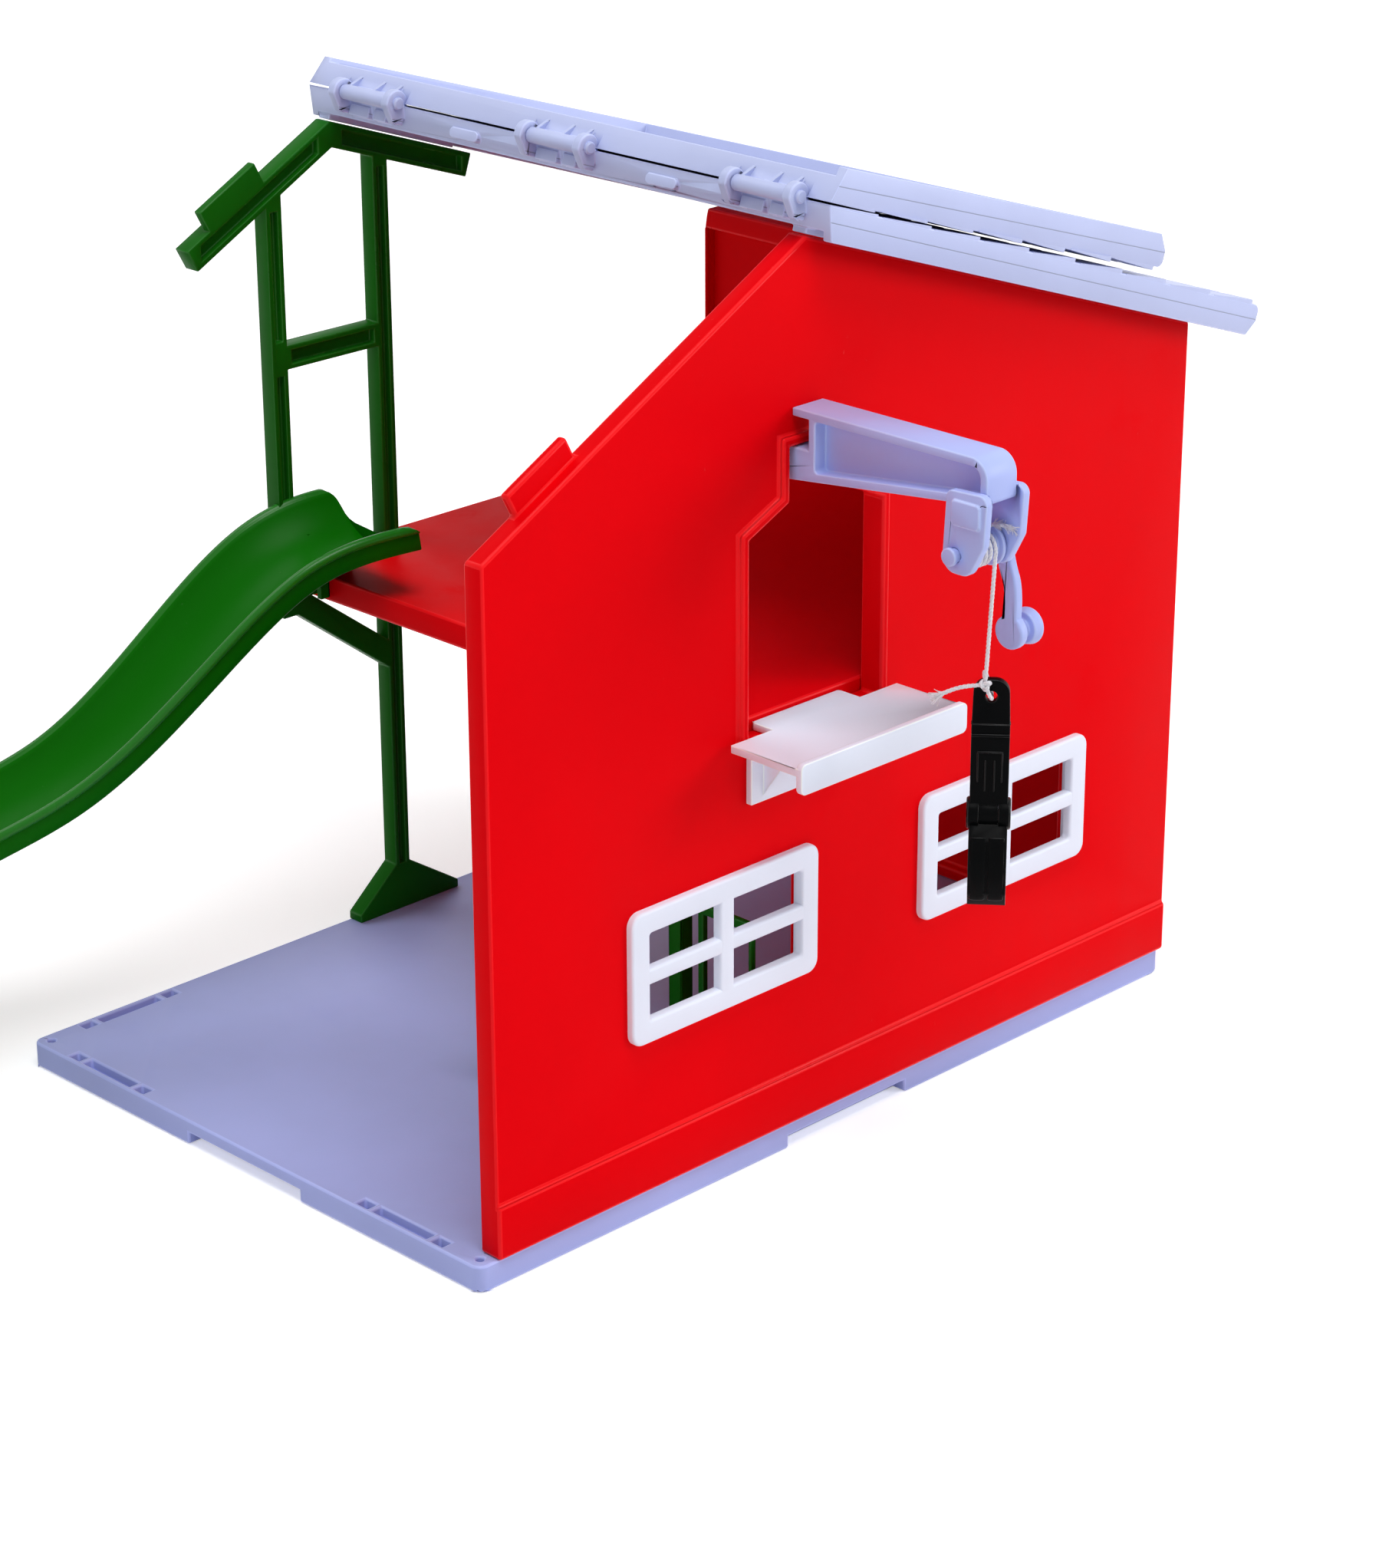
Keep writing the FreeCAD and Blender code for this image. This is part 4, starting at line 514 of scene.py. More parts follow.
slide_green = moulded_plastic("slide_green", (0.003, 0.135, 0.0006), shine=0.045, rough=0.33, flow=0.04,
                              rub=0.08, grain=0.03, edge_shine=0.2)
slide_shape = slide_mesh()
leg = LOFT_EDGE - HOOK_CLEAR
hook_tip = LOFT_EDGE + HOOK_REACH
hook_foot = LOFT_TOP - HOOK_DROP
for hook_y, hook_top in HOOK_PLACES:
    hook_profile = [(hook_tip, hook_top), (leg - HOOK_THICK, hook_top), (leg - HOOK_THICK, hook_foot),
                    (leg, hook_foot), (leg, LOFT_TOP), (hook_tip, LOFT_TOP)]
    near_side = slide_line[0].y + hook_y
    ring_skin(slide_shape, [[slide_shape.verts.new((x, y, z)) for x, z in hook_profile]
                            for y in (near_side, near_side + HOOK_WIDTH)])
slide = finished_mesh(new_piece("slide_chute_shell", slide_shape, slide_green), sharp_angle=50)
dress(slide, "stable", "green_plastic", "slide_chute")

# Roof leaves: grey mouldings joined by three hinges along the ridge, the left one folded over the right one.
# Their outer faces are levelled for the shingles; a parting line along each verge board is darkened as
# painted shade.
RIDGE = Vector((-0.0176, -0.00515, 0.2113))
PITCH_DEGREES, OPEN_DEGREES = 18.75, 1.3
RIGHT_PITCH = math.radians(PITCH_DEGREES)
FOLDED_PITCH = math.radians(PITCH_DEGREES - OPEN_DEGREES)
RIGHT_LENGTH, LEFT_LENGTH = 0.153, 0.1135
LEAF_FRONT, LEAF_BACK, LEAF_GAP, LEAF_DEPTH, LEAF_RIM = 0.0772, 0.0825, 0.00015, 0.0064, 0.0024
RIDGE_CLEAR, RIDGE_BEVEL = 0.0019, 0.003
COURSE_STEP, RIGHT_COURSES, LEFT_COURSES = 0.0007, 7, 5
SKIN_DEPTH = 0.00025
VERGE_DROP, VERGE_LINE, LINE_CORE, LINE_FADE = 0.0009, 0.0036, 0.00006, 0.00016
HINGE_PITCH, HINGE_RIBS, RIB_THICK = 0.0605, (-0.0066, -0.0010, 0.0068), 0.0009
RIB_TIP, RIB_SHOULDER, RIB_FOOT, RIB_SINK = (0.0003, -0.0015), (0.0009, -0.0012), 0.0046, 0.0003
PIN_HALF, PIN_RADIUS, PIN_HEAD, PIN_SIDES, MIDDLE_PIN = 0.010, 0.0009, 0.00138, 24, 2
HEAD_THICK, HEAD_ROUND = 0.0008, 0.0003
NEAR, NEAR_STEP, NEAR_RIDGE = 2e-5, 0.002, 0.001
roof_colour = (0.51, 0.565, 0.85)
fold_axis = Vector((math.cos(FOLDED_PITCH / 2), 0, -math.sin(FOLDED_PITCH / 2)))
right_axes = Matrix.Translation(RIDGE) @ Matrix.Rotation(RIGHT_PITCH, 4, "Y")
left_axes = Matrix.Translation(RIDGE) @ Matrix.Rotation(math.pi, 4, fold_axis)


def verge_line(pitch, side):
    """Thin line along both verge boards, at an even depth below the leaf's outer face, darkened as painted
    shade in its groove.
    """
    def lines(finish):
        depth = finish.along((math.sin(pitch) * side, 0, math.cos(pitch) * side), tuple(RIDGE))
        painted_groove_line = 1 - finish.ramp(abs(depth + VERGE_LINE), LINE_CORE, LINE_FADE)
        return painted_groove_line * finish.ramp(abs(finish.facing((0, 1, 0))), 0.8, 0.95)
    return lines


def bare_leaf(axes, length, courses, front):
    """Levels a leaf's outer face, for the shingles to lie on, and lowers its front verge over the wall."""
    step = (length - RIDGE_CLEAR) / courses

    def change(shape):
        for vertex in shape.verts:
            place = axes.inverted() @ vertex.co
            count = (place.x - RIDGE_CLEAR) / step
            on_course = abs(place.z + LEAF_GAP + COURSE_STEP * (1 - count % 1)) < NEAR
            at_step = abs(count - round(count)) < NEAR_STEP
            on_step = at_step and abs(place.z + LEAF_GAP + COURSE_STEP / 2) < COURSE_STEP / 2 + NEAR
            if count > -NEAR_RIDGE and (on_course or on_step):
                place.z = -SKIN_DEPTH
            elif abs(place.z + LEAF_GAP + LEAF_DEPTH) < NEAR and abs(place.y - front) < LEAF_RIM + NEAR:
                place.z -= VERGE_DROP
            vertex.co = axes @ place
    return change


def hinge_ribs():
    """Thin ribs on the left leaf that brace each barrel against the ridge face."""
    slant = RIDGE_BEVEL / LEAF_DEPTH
    rib = [RIB_TIP, (RIDGE_CLEAR + RIB_SHOULDER[0], RIB_SHOULDER[1]),
           (RIDGE_CLEAR + RIB_FOOT * slant + RIB_SINK, -RIB_FOOT)]
    shape = bmesh.new()
    for number in (-1, 0, 1):
        for offset in HINGE_RIBS:
            middle = -number * HINGE_PITCH - offset
            ring_skin(shape, [[shape.verts.new(left_axes @ Vector((x, y, z))) for x, z in rib]
                              for y in (middle - RIB_THICK / 2, middle + RIB_THICK / 2)])
    ribs = finished_mesh(new_piece("roof_left_hinge_ribs", shape, left_grey[:1]))
    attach(ribs, "roof_left")


def hinge_pin(number):
    """Pin turned about the ridge, with a low head on each end."""
    end = PIN_HALF + HEAD_THICK
    half = [(PIN_HEAD - HEAD_ROUND, end), (PIN_HEAD, end - HEAD_ROUND), (PIN_HEAD, PIN_HALF),
            (PIN_RADIUS, PIN_HALF)]
    profile = half + [(radius, -y) for radius, y in reversed(half)]
    middle = RIDGE + Vector((0, (number - MIDDLE_PIN) * HINGE_PITCH, 0))
    shape = bmesh.new()
    rings = []
    for radius, y in profile:
        circle = circle_points(radius, PIN_SIDES)
        rings.append([shape.verts.new(middle + Vector((x, y, z))) for x, z in circle])
    ring_skin(shape, rings)
    return new_piece(f"roof_hinge_pin_{number}_shell", shape, right_grey[:1])


right_grey = moulded_plastic("roof_right_grey", roof_colour, lines=verge_line(RIGHT_PITCH, 1))
left_grey = moulded_plastic("roof_left_grey", roof_colour, lines=verge_line(FOLDED_PITCH, -1))
moulded_shell("roof_right_panel", "stable", "grey_plastic", right_grey, radius=0.0003,
              change=bare_leaf(right_axes, RIGHT_LENGTH, RIGHT_COURSES, -LEAF_FRONT))
moulded_shell("roof_left_panel", "roof_left", "grey_plastic", left_grey, radius=0.00015,
              change=bare_leaf(left_axes, LEFT_LENGTH, LEFT_COURSES, LEAF_FRONT))
hinge_ribs()
for number in (1, 2, 3):
    dress(finished_mesh(hinge_pin(number)), "stable", "steel", f"roof_hinge_pin_{number}")


# Shingles: thin wedge tabs with rounded lower corners, in staggered courses on both leaves.
# One tab is repeated by a geometry tree. The first courses are thinner, so that the folded leaves lie close.
TAB_COUNT, TAB_LIFT, TAB_APART, TAB_CORNER = 17, 0.0007, 0.00035, 0.0022
TAB_SUNK, TAB_PROUD, END_DRAFT, SIDE_DRAFT = 0.0002, 0.00003, 0.01, 0.015
FIRST_LIFT, LIFT_GROWTH, MOST_LIFT, LEAST_TRIM = 0.5, 0.18, 1.25, 0.965
RIGHT_ROWS, LEFT_ROWS = 9, 7
EAVE_CLEAR = 0.0014


def shingle_tab(length, width):
    """Wedge with two rounded corners at its thick lower end, and drafted sides."""
    shape = bmesh.new()
    rim = [(0, 0), (0, width)]
    rim += arc_points((length - TAB_CORNER, width - TAB_CORNER), TAB_CORNER, math.pi / 2, 0, steps=5)
    rim += arc_points((length - TAB_CORNER, TAB_CORNER), TAB_CORNER, 0, -math.pi / 2, steps=5)
    low = [shape.verts.new((x, y, -TAB_SUNK)) for x, y in rim]
    high = []
    for x, y in rim:
        drawn_y = y * (1 - SIDE_DRAFT) + width * SIDE_DRAFT / 2
        high.append(shape.verts.new((x * (1 - END_DRAFT), drawn_y, TAB_PROUD + TAB_LIFT * x / length)))
    ring_skin(shape, [low, high])
    return shape


def shingle_tree():
    """Geometry tree that lays the incoming tab out in staggered courses, with half tabs at the verges."""
    tree = bpy.data.node_groups.new("shingle_courses", "GeometryNodeTree")
    tree.interface.new_socket("Geometry", in_out="INPUT", socket_type="NodeSocketGeometry")
    for name in ("Courses", "Tabs", "Seed"):
        tree.interface.new_socket(name, in_out="INPUT", socket_type="NodeSocketInt")
    for name in ("Course Pitch", "Tab Pitch", "First Course", "First Tab", "Foot", "First Lift",
                 "Lift Growth"):
        tree.interface.new_socket(name, in_out="INPUT", socket_type="NodeSocketFloat")
    tree.interface.new_socket("Material", in_out="INPUT", socket_type="NodeSocketMaterial")
    tree.interface.new_socket("Geometry", in_out="OUTPUT", socket_type="NodeSocketGeometry")
    nodes = Nodes(tree)
    entry = tree.nodes.new("NodeGroupInput")
    size = {socket.name: Signal(nodes, socket) for socket in entry.outputs if socket.name}
    index = nodes.node("GeometryNodeInputIndex")
    row = size["Tabs"] + 1
    course = index.math("FLOOR", index / row)
    tab = index - course * row
    odd = course % 2.0
    inner = tab > 0.5
    last = tab > size["Tabs"] - 0.5
    place = nodes.node("ShaderNodeCombineXYZ", {
        "X": size["First Course"] + course * size["Course Pitch"],
        "Y": size["First Tab"] + (tab - 0.5 * odd * inner) * size["Tab Pitch"],
        "Z": size["Foot"]})
    points = nodes.node("GeometryNodePoints", {"Count": size["Courses"] * row, "Position": place})
    trim = nodes.node("FunctionNodeRandomValue", {2: LEAST_TRIM, 3: 1.0, "Seed": size["Seed"]}, output=1,
                      data_type="FLOAT")
    width = 1 - 0.5 * odd * (1 - inner + last)
    lift = course.math("MINIMUM", size["First Lift"] + course * size["Lift Growth"], MOST_LIFT)
    laid = nodes.node("GeometryNodeInstanceOnPoints", {
        "Points": points, "Selection": 1 - (1 - odd) * last, "Instance": size["Geometry"],
        "Scale": nodes.node("ShaderNodeCombineXYZ", {"X": trim, "Y": width, "Z": lift})})
    real = nodes.node("GeometryNodeRealizeInstances", {"Geometry": laid})
    painted = nodes.node("GeometryNodeSetMaterial", {"Geometry": real, "Material": size["Material"]})
    leave = tree.nodes.new("NodeGroupOutput")
    nodes.feed(leave.inputs[0], painted)
    return tree


def shingles(name, body, material, length, courses, first_y, axes, seed):
    """All the tabs of one leaf, laid on its outer face."""
    pitch = (length - RIDGE_CLEAR - EAVE_CLEAR) / courses
    tab_pitch = (LEAF_FRONT + LEAF_BACK + TAB_APART) / TAB_COUNT
    piece = new_piece(name, shingle_tab(pitch, tab_pitch - TAB_APART), [material])
    layout = piece.modifiers.new("shingle_courses", "NODES")
    layout.node_group = shingle_tree()
    values = {"Courses": courses, "Tabs": TAB_COUNT, "Seed": seed, "Course Pitch": pitch,
              "Tab Pitch": tab_pitch, "First Course": RIDGE_CLEAR, "First Tab": first_y, "Foot": -SKIN_DEPTH,
              "First Lift": FIRST_LIFT, "Lift Growth": LIFT_GROWTH, "Material": material}
    for socket in layout.node_group.interface.items_tree:
        if socket.in_out == "INPUT" and socket.name in values:
            layout[socket.identifier] = values[socket.name]
    finished_mesh(piece, sharp_angle=30)
    piece.data.transform(axes)
    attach(piece, body)


shingles("right_shingles", "stable", right_grey[0], RIGHT_LENGTH, RIGHT_ROWS, -LEAF_FRONT, right_axes,
         seed=3)
shingles("left_shingles", "roof_left", left_grey[0], LEFT_LENGTH, LEFT_ROWS, -LEAF_BACK, left_axes,
         seed=4)

# Windows: white frames pressed into the wall, with well rounded stiles and two crossing bars.
# Each frame is one section led round a rounded rectangle, and the ends of the bars tuck into it.
WINDOW_CORNER, PANE_CORNER, STILE, SPIGOT, SPIGOT_SKIN = 0.003, 0.0008, 0.0052, 0.0023, 0.001
MUNTIN_HALF, BAR_HALF, BAR_DEPTH, BAR_BACK = 0.0021, 0.0018, 0.0022, 0.00005
WALL_FACE = -0.07565
WINDOW_ROUND = 0.0007
SPIGOT_REACH = 0.0022
white = moulded_plastic("window_white", (0.80, 0.85, 0.98), shine=0.25, rough=0.34, flow=0.015, rub=0.05)


def rounded_loop(low, high, inset, y):
    """Points of an upright rounded rectangle, inset from a window's outer edge."""
    radius = max(WINDOW_CORNER - inset, PANE_CORNER)
    reach = inset + radius
    centres = [(high[0] - reach, high[2] - reach), (low[0] + reach, high[2] - reach),
               (low[0] + reach, low[2] + reach), (high[0] - reach, low[2] + reach)]
    points = []
    for quarter, centre in enumerate(centres):
        points += arc_points(centre, radius, quarter * math.pi / 2, (quarter + 1) * math.pi / 2, steps=6)
    return [(x, y, z) for x, z in points]


def bar_section(half, front, back):
    """Section of a bar whose two front edges are rounded."""
    side, depth = half - WINDOW_ROUND, front + WINDOW_ROUND
    left_edge = arc_points((-side, depth), WINDOW_ROUND, math.pi, 1.5 * math.pi, steps=5)
    right_edge = arc_points((side, depth), WINDOW_ROUND, 1.5 * math.pi, 2 * math.pi, steps=5)
    return [(-half, back)] + left_edge + right_edge + [(half, back)]


def window_piece(node):
    low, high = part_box(node)
    front, back = low[1], low[1] + BAR_DEPTH
    profile = [(inset + STILE / 2, y) for inset, y in bar_section(STILE / 2, front, back)[1:-1]]
    profile += [(STILE, back), (SPIGOT + SPIGOT_SKIN, back), (SPIGOT + SPIGOT_SKIN, back + SPIGOT_REACH),
                (SPIGOT, back + SPIGOT_REACH), (SPIGOT, WALL_FACE), (0, WALL_FACE)]
    shape = bmesh.new()
    loops = [[shape.verts.new(point) for point in rounded_loop(low, high, inset, y)] for inset, y in profile]
    ring_skin(shape, loops + loops[:1], closed=False)
    middle_x, middle_z = (low[0] + high[0]) / 2, (low[2] + high[2]) / 2
    upright = bar_section(MUNTIN_HALF, front, front + BAR_DEPTH)
    level = bar_section(BAR_HALF, front + BAR_BACK, front + BAR_DEPTH - BAR_BACK)
    tuck = STILE - WINDOW_ROUND
    ring_skin(shape, [[shape.verts.new((middle_x + a, y, z)) for a, y in upright]
                      for z in (low[2] + tuck, high[2] - tuck)])
    ring_skin(shape, [[shape.verts.new((x, y, middle_z + a)) for a, y in level]
                      for x in (low[0] + tuck, high[0] - tuck)])
    dress(finished_mesh(new_piece(node + "_shell", shape, white[:1])), "stable", "white_plastic", node)


window_piece("window_left")
window_piece("window_right")

# Loading ledge: a white shelf with a front lip, hooked into the door's sill.
# It has the plastic of the windows and a small edge radius.
moulded_shell("loading_ledge", "stable", "white_plastic", white, radius=0.0002)

# Crane and winch: grey mouldings. The arm is hooked into the door's neck, and the drum and a bowed crank
# turn in two side plates. The crank is a round hub and a round lobe on one smooth line, with rounded rims.
AXLE_Y, AXLE_Z = -0.12165, 0.1481
CRANK_ROUTE = [(0, 0), (-0.6, -4.5), (-3.3, -10.5), (-2.59, -19.13)]
CRANK_HUB, CRANK_WAIST, CRANK_LOBE = 0.0027, 0.0017, 0.0036
FACE_CLEAR, CRANK_ROUND, CRANK_SPACING = 0.00004, 0.0006, 0.0004
crane_grey = moulded_plastic("crane_grey", (0.45, 0.53, 0.94), shine=0.2)
moulded_shell("crane_arm", "stable", "grey_plastic", crane_grey, radius=0.0003)
for node in ("winch_cheek_near", "winch_cheek_far"):
    moulded_shell(node, "stable", "grey_plastic", crane_grey, radius=0.0003)
for node in ("winch_drum", "crank_knob"):
    moulded_shell(node, "winch", "grey_plastic", crane_grey, radius=0.0003, segments=3)


def crank_outline(inset):
    """Round hub and lobe joined by a slim bowed lever, in Y and Z from the axle, drawn in by an inset."""
    line = read_route([Vector((0, y, z)) / 1000 for y, z in CRANK_ROUTE], CRANK_SPACING)
    run = sum((after - before).length for before, after in zip(line, line[1:]))
    hub, waist, lobe = CRANK_HUB - inset, CRANK_WAIST - inset, CRANK_LOBE - inset
    left, right, gone = [], [], 0
    for i, spot in enumerate(line):
        gone += (spot - line[i - 1]).length if i else 0
        ahead = (line[min(i + 1, len(line) - 1)] - line[max(i - 1, 0)]).normalized()
        hub_half = math.sqrt(max(0, hub ** 2 - gone ** 2))
        lobe_half = math.sqrt(max(0, lobe ** 2 - (run - gone) ** 2))
        half = max(waist, hub_half, lobe_half)
        left.append((spot.y - ahead.z * half, spot.z + ahead.y * half))
        right.append((spot.y + ahead.z * half, spot.z - ahead.y * half))
    first = math.atan2(right[0][1], right[0][0])
    tip = (line[-1].y, line[-1].z)
    last = math.atan2(left[-1][1] - tip[1], left[-1][0] - tip[0])
    hub_cap = arc_points((0, 0), hub, first, first - math.pi, steps=12)[1:-1]
    lobe_cap = arc_points(tip, lobe, last, last - math.pi, steps=14)[1:-1]
    return left + lobe_cap + right[::-1] + hub_cap


crank_low, crank_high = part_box("winch_crank")
crank_edge = [(CRANK_ROUND - inset, CRANK_ROUND + depth) for inset, depth in
              arc_points((0, 0), CRANK_ROUND, -math.pi / 2, 0, steps=4)]
crank_levels = [(crank_low[0] - FACE_CLEAR + depth, inset) for inset, depth in crank_edge]
crank_levels += [(crank_high[0] + FACE_CLEAR - depth, inset) for inset, depth in reversed(crank_edge)]
crank_shape = bmesh.new()
ring_skin(crank_shape, [[crank_shape.verts.new((x, AXLE_Y + y, AXLE_Z + z)) for y, z in crank_outline(inset)]
                        for x, inset in crank_levels])
crank = finished_mesh(new_piece("winch_crank_shell", crank_shape, crane_grey[:1]))
dress(crank, "winch", "grey_plastic", "winch_crank")

# String: a thin white cord of three twisted strands, wound on the drum, hanging to a knot at the gripper.
# Its loose ends are frayed. Every strand follows points read from the route's own smooth spline.
STRING_RADIUS = 0.00045
STRANDS, LAY, STRAND_OUT, STRAND_SHARE = 3, 0.0026, 0.46, 0.54
FIBRE_RADIUS, FIBRE_SPACING, FIBRE_TAPER, FIBRE_SAG = 0.00009, 0.0004, 0.6, 0.15
FRAY_SPREAD = 0.7
STRING_X, STRING_Y, HANG_TOP, HANG_OVERLAP = -0.0130, -0.12515, 0.14717, 0.0012
WIND_RADIUS, WIND_START, WIND_TURNS, WIND_STEPS, WIND_END = 0.00353, -0.0179, 3.5, 16, 0.0009
TIE_POINTS = [(-11.9, 1.6, 3.2), (-11.6, -0.6, 4.2), (-11.1, -3.2, 4.7), (-10.3, -5.2, 4.3)]
TIE_FRAYS, TIE_FRAY_LENGTH, TIE_FIBRES = [(0.45, 7), (0.75, 9), (1.0, 11)], 0.0025, 26
KNOT_ACROSS, KNOT_FRONT, KNOT_Z = -0.0013, 0.0021, 0.1203
KNOT_STEPS, KNOT_SIZE, KNOT_DEPTH = 36, 0.00033, 0.0006
LOOP_POINTS = [(-1.3, 1.9, 120.1), (-0.7, 2.5, 118.8), (0, 2.4, 117.5), (0, 0.6, 117.0),
               (0, -1.6, 117.2), (-0.4, -2.6, 118.6), (-1.2, -2.6, 120.8), (-1.6, -0.8, 122.3),
               (-1.5, 1.4, 121.8), (-1.3, 1.9, 120.6)]
TAIL_POINTS = [(-1.0, 0), (-4.0, -0.3), (-6.8, -1.2), (-8.4, -2.0)]
TAIL_FRAY_LENGTH, TAIL_FIBRES = 0.0032, 44
GRIPPER_TURN = math.radians(-50)
grip_across = Vector((math.cos(GRIPPER_TURN), math.sin(GRIPPER_TURN), 0))
grip_front = Vector((math.sin(GRIPPER_TURN), -math.cos(GRIPPER_TURN), 0))


def string_finish():
    """Matt cotton with fine fibres."""
    finish = Finish("string_cotton")
    fibre = finish.noise(1, 3, 0.7, finish.stretched((5000, 5000, 1200), (0.3, 0.5, 0.2)))
    tone = finish.ramp(fibre, 0.3, 0.7)
    colour = finish.mix(tone, (0.70, 0.69, 0.75, 1), (0.90, 0.89, 0.92, 1))
    return finish.shade(base_color=colour, roughness=0.8 + 0.15 * tone, specular_ior_level=0.2,
                        sheen_weight=0.2, normal=finish.bump(fibre, strength=0.5, distance=0.0002))


string_white = string_finish()


def tube(shape, path, radius, sides, taper=1.0):
    """Closed tube along a path, added to a bmesh; the taper is the far end's share of the radius."""
    way = (path[1] - path[0]).normalized()
    out = way.orthogonal().normalized()
    rings = []
    for i, spot in enumerate(path):
        ahead = (path[min(i + 1, len(path) - 1)] - path[max(i - 1, 0)]).normalized()
        out = (out - ahead * out.dot(ahead)).normalized()
        side = ahead.cross(out)
        size = radius * (1 + (taper - 1) * i / (len(path) - 1))
        rings.append([shape.verts.new(spot + (out * math.cos(a) + side * math.sin(a)) * size)
                      for a in (2 * math.pi * j / sides for j in range(sides))])
    ring_skin(shape, rings)


def twisted_cord(shape, route):
    """Strands that turn about a route, each a thin tube."""
    way = (route[1] - route[0]).normalized()
    out = way.orthogonal().normalized()
    paths = [[] for _ in range(STRANDS)]
    gone = 0
    for i, spot in enumerate(route):
        ahead = (route[min(i + 1, len(route) - 1)] - route[max(i - 1, 0)]).normalized()
        out = (out - ahead * out.dot(ahead)).normalized()
        side = ahead.cross(out)
        gone += (spot - route[i - 1]).length if i else 0
        for number, path in enumerate(paths):
            angle = 2 * math.pi * (gone / LAY + number / STRANDS)
            outward = out * math.cos(angle) + side * math.sin(angle)
            path.append(spot + outward * STRING_RADIUS * STRAND_OUT)
    for path in paths:
        tube(shape, path, STRING_RADIUS * STRAND_SHARE, sides=6)


def frayed_end(shape, start, way, length, count, seed):
    """Loose fibres that fan out from a cord's end."""
    chance = random.Random(seed)
    for _ in range(count):
        lean = Vector((chance.uniform(-1, 1), chance.uniform(-1, 1), chance.uniform(-1, 1))) * FRAY_SPREAD
        reach = length * chance.uniform(0.55, 1)
        first = start + lean * STRING_RADIUS * 0.8
        middle = first + (way + lean * 0.4).normalized() * reach * 0.5
        tip = middle + (way + lean * 1.2 + Vector((0, 0, -FIBRE_SAG))).normalized() * reach * 0.5
        tube(shape, read_route([first, middle, tip], FIBRE_SPACING), FIBRE_RADIUS, sides=5, taper=FIBRE_TAPER)


def string_piece(name, shape):
    piece = finished_mesh(new_piece(name, shape, [string_white]), sharp_angle=80)
    return piece


wind_points = []
for i in range(round(WIND_TURNS * WIND_STEPS) + 1):
    angle = math.pi - (WIND_TURNS - i / WIND_STEPS) * 2 * math.pi
    wind_x = WIND_START + (STRING_X - WIND_START) * i / (WIND_TURNS * WIND_STEPS)
    wind_y = AXLE_Y + WIND_RADIUS * math.cos(angle)
    wind_z = AXLE_Z + WIND_RADIUS * math.sin(angle)
    wind_points.append(Vector((wind_x, wind_y, wind_z)))
wind_points.append(wind_points[-1] + Vector((0, 0, -WIND_END)))
winding_shape = bmesh.new()
twisted_cord(winding_shape, read_route(wind_points))
tie_route = read_route([Vector((x / 1000, AXLE_Y + y / 1000, AXLE_Z + z / 1000)) for x, y, z in TIE_POINTS])
twisted_cord(winding_shape, tie_route)
for share, seed in TIE_FRAYS:
    spot = round(share * (len(tie_route) - 1))
    way = (tie_route[spot] - tie_route[spot - 4]).normalized()
    frayed_end(winding_shape, tie_route[spot], way, TIE_FRAY_LENGTH, TIE_FIBRES, seed)
winding = string_piece("string_winding_cord", winding_shape)
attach(winding, "winch")
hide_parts("string_winding")

hang_top = Vector((STRING_X, STRING_Y, HANG_TOP))
knot_centre = Vector((STRING_X, STRING_Y, KNOT_Z)) + grip_across * KNOT_ACROSS + grip_front * KNOT_FRONT
hang_foot = knot_centre + Vector((0, 0, HANG_OVERLAP))
hang_shape = bmesh.new()
twisted_cord(hang_shape, read_route([hang_top.lerp(hang_foot, i / 3) for i in range(4)]))
hanging = string_piece("hoist_string_cord", hang_shape)
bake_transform(hanging)
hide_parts("hoist_string")

knot_shape = bmesh.new()
knot_points = []
for i in range(KNOT_STEPS + 1):
    turn = 2 * math.pi * i / KNOT_STEPS
    knot_points.append(knot_centre + grip_across * (math.sin(turn) + 2 * math.sin(2 * turn)) * KNOT_SIZE
                       + Vector((0, 0, 1)) * (math.cos(turn) - 2 * math.cos(2 * turn)) * KNOT_SIZE
                       - grip_front * math.sin(3 * turn) * KNOT_DEPTH)
twisted_cord(knot_shape, read_route(knot_points))
loop_points = [Vector((STRING_X, STRING_Y, up / 1000)) + grip_across * side / 1000 + grip_front * ahead / 1000
               for side, ahead, up in LOOP_POINTS]
twisted_cord(knot_shape, read_route(loop_points))
knot = string_piece("string_knot_cord", knot_shape)
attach(knot, "hoist")
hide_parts("string_knot")

tail_shape = bmesh.new()
tail_points = [knot_centre + grip_across * a / 1000 + Vector((0, 0, b / 1000)) for a, b in TAIL_POINTS]
tail_route = read_route(tail_points)
twisted_cord(tail_shape, tail_route)
tail_way = (tail_route[-1] - tail_route[-5]).normalized()
frayed_end(tail_shape, tail_route[-1], tail_way, TAIL_FRAY_LENGTH, TAIL_FIBRES, seed=5)
tail = string_piece("string_tail_cord", tail_shape)
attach(tail, "hoist")
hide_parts("string_tail")

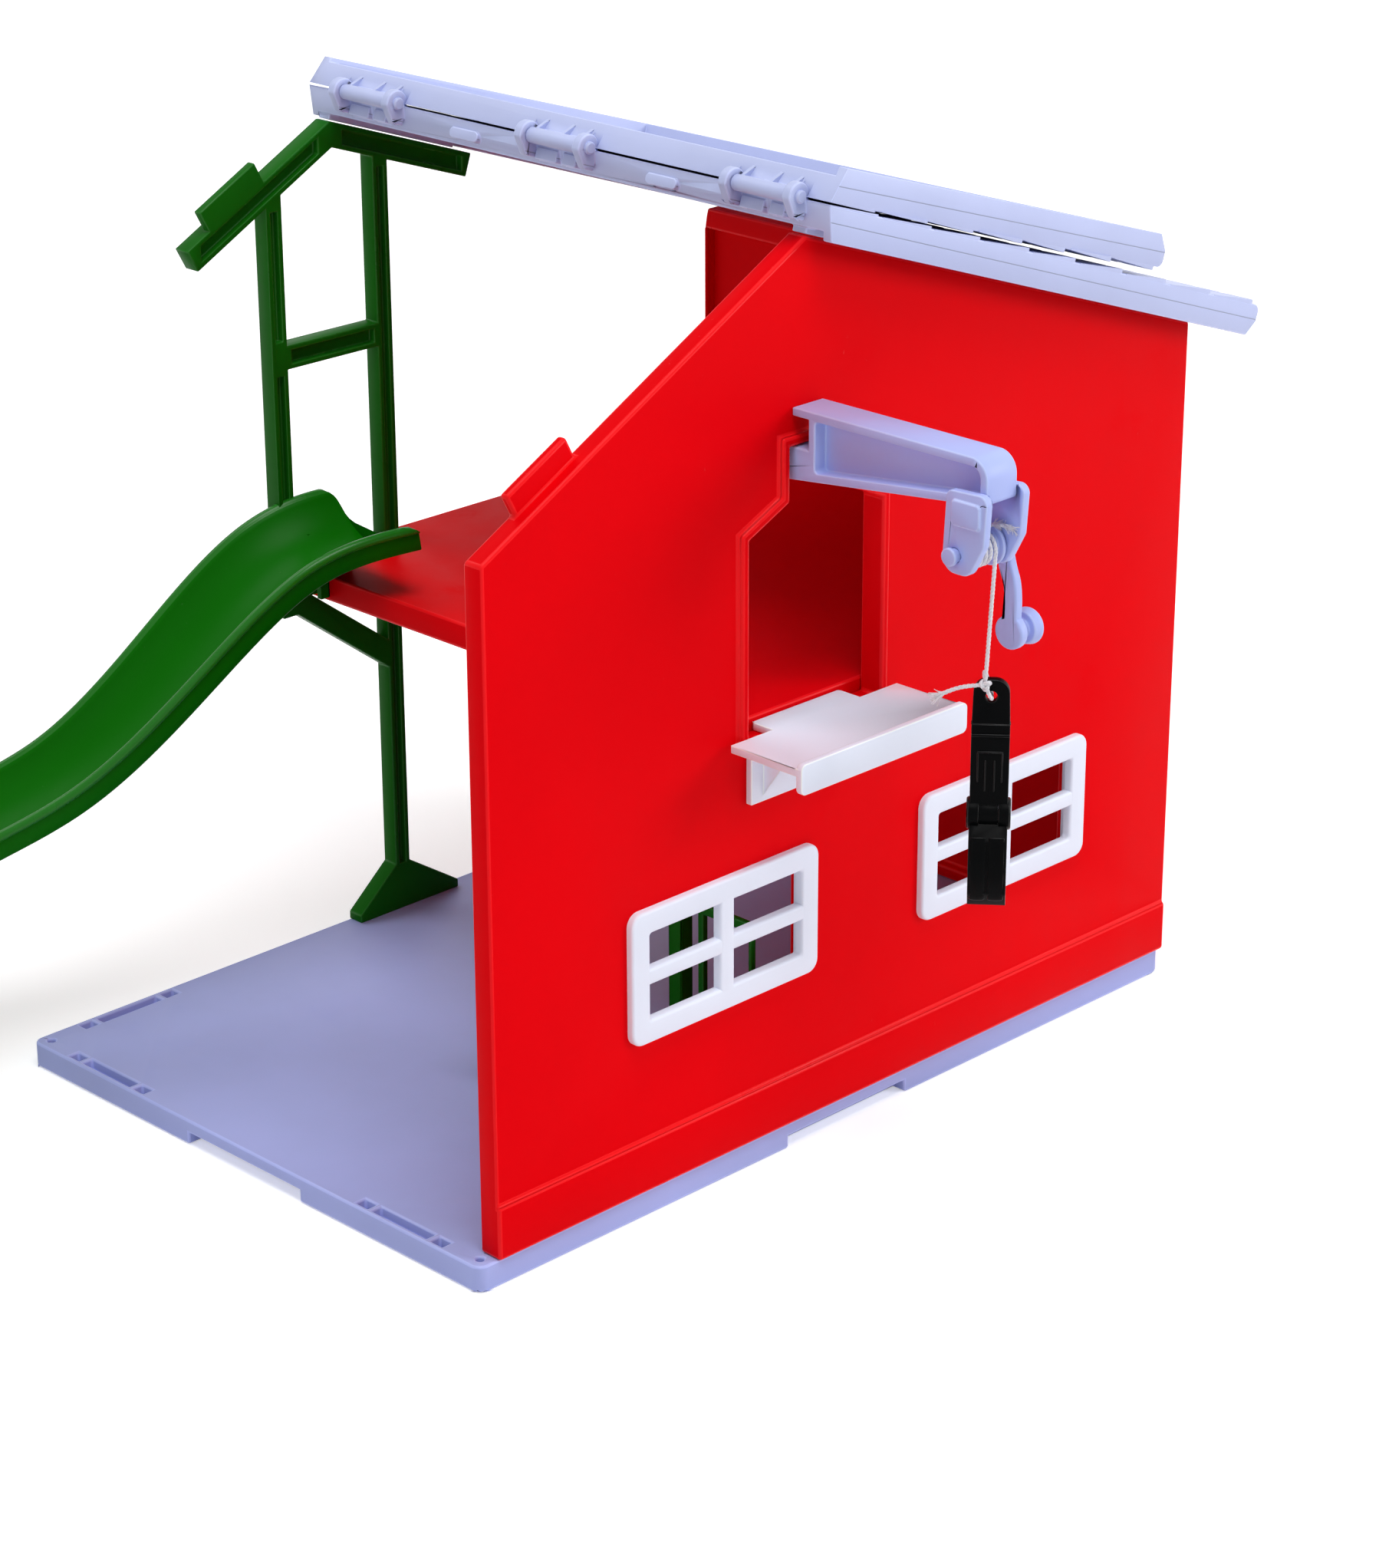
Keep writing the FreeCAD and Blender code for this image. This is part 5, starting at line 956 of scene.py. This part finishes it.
# Gripper: two black jaws on a pin, each with two rounded ribs. Sizes from the pivot are in millimetres.
# The front jaw has raised panel lines and two bosses at the knuckle, the rear jaw a sleeve between them.
GRIPPER_PIVOT = Vector((STRING_X, STRING_Y, 0.0919))
LEVER_FRONT, PANEL_PROUD, PANEL_SUNK = 1.8, 0.22, 0.4
PANEL_BARS = [(-3.9, 3.9, 17.2, 17.8), (-2.6, 2.6, 13.7, 14.1), (-2.6, -2.25, 7.4, 13.7),
              (2.25, 2.6, 7.4, 13.7), (-1.1, -0.75, 5.4, 12.2), (0.75, 1.1, 5.4, 12.2)]
JAW_ROUTE = [(5.0, -3.4), (6.3, -6.2), (7.1, -9.75), (6.2, -13.8), (4.6, -17.2)]
RIB_BANDS, RIB_PROUD, RIB_SUNK = [(-3.5, -0.35), (0.15, 3.4)], 0.3, 0.7
RIB_SPACING, RIB_ARCS = 1.2, 8
SLEEVE_RADIUS, SLEEVE_HALF, KNUCKLE_SIDES = 2.86, 1.88, 32
BOSS_RADIUS, BOSS_EDGE, BOSS_SPANS = 3.3, 0.3, [(-2.0, -4.5), (2.0, 4.5)]
gripper_black = moulded_plastic("gripper_black", (0.002, 0.0023, 0.0026), shine=0.03, rough=0.34, flow=0.02,
                                rub=0.05, edge_shine=0.2)


def grip_point(across_mm, front_mm, up_mm):
    place = GRIPPER_PIVOT + grip_across * across_mm / 1000 + grip_front * front_mm / 1000
    return place + Vector((0, 0, up_mm / 1000))


def box_between(shape, corners):
    """Six faces on eight corners, four of the back and four of the front."""
    verts = [shape.verts.new(corner) for corner in corners]
    for face in ((0, 1, 2, 3), (4, 5, 6, 7), (0, 1, 5, 4), (1, 2, 6, 5), (2, 3, 7, 6), (3, 0, 4, 7)):
        shape.faces.new([verts[i] for i in face])


def turned_part(shape, levels):
    """Round part about the pivot, from places across it and radii."""
    rings = []
    for across_mm, radius in levels:
        circle = circle_points(radius, KNUCKLE_SIDES)
        rings.append([shape.verts.new(grip_point(across_mm, front_mm, up_mm)) for front_mm, up_mm in circle])
    ring_skin(shape, rings)


def rib_section(x0, x1):
    """Half round between two places across the jaw, on a foot that is sunk into it."""
    turns = [math.pi * j / RIB_ARCS for j in range(RIB_ARCS + 1)]
    crown = [((x0 + x1) / 2 - (x1 - x0) / 2 * math.cos(turn), RIB_PROUD * math.sin(turn)) for turn in turns]
    return [(x0, -RIB_SUNK)] + crown + [(x1, -RIB_SUNK)]


def jaw_ribs(shape, side):
    """Two raised ribs that follow the jaw's outer curve."""
    route = read_route([Vector((a / 1000, b / 1000, 0)) for a, b in JAW_ROUTE], RIB_SPACING / 1000)
    for x0, x1 in RIB_BANDS:
        rings = []
        for i, spot in enumerate(route):
            ahead = (route[min(i + 1, len(route) - 1)] - route[max(i - 1, 0)]).normalized()
            out = Vector((-ahead.y, ahead.x, 0))
            out = out if out.x > 0 else -out
            ring = []
            for x, proud in rib_section(x0, x1):
                point = spot + out * proud / 1000
                ring.append(shape.verts.new(grip_point(x, side * point.x * 1000, point.y * 1000)))
            rings.append(ring)
        ring_skin(shape, rings)


def front_jaw_parts(shape):
    """Panel lines, ribs, and a boss on each side of the knuckle."""
    for x0, x1, z0, z1 in PANEL_BARS:
        rim = [(x0, z0), (x1, z0), (x1, z1), (x0, z1)]
        box_between(shape, [grip_point(x, LEVER_FRONT - PANEL_SUNK, z) for x, z in rim]
                    + [grip_point(x, LEVER_FRONT + PANEL_PROUD, z) for x, z in rim])
    jaw_ribs(shape, 1)
    for inner, outer in BOSS_SPANS:
        edge = outer - math.copysign(BOSS_EDGE, outer)
        turned_part(shape, [(inner, BOSS_RADIUS), (edge, BOSS_RADIUS), (outer, BOSS_RADIUS - BOSS_EDGE)])


def rear_jaw_parts(shape):
    """Ribs, and a sleeve that fills the gap round the middle knuckle."""
    jaw_ribs(shape, -1)
    turned_part(shape, [(-SLEEVE_HALF, SLEEVE_RADIUS), (SLEEVE_HALF, SLEEVE_RADIUS)])


moulded_shell("gripper_front_jaw", "hoist", "black_plastic", gripper_black, radius=0.00012,
              change=front_jaw_parts)
moulded_shell("gripper_rear_jaw", "gripper_jaw", "black_plastic", gripper_black, radius=0.00012,
              change=rear_jaw_parts)
moulded_shell("gripper_pin", "hoist", "black_plastic", gripper_black, radius=0.0001)
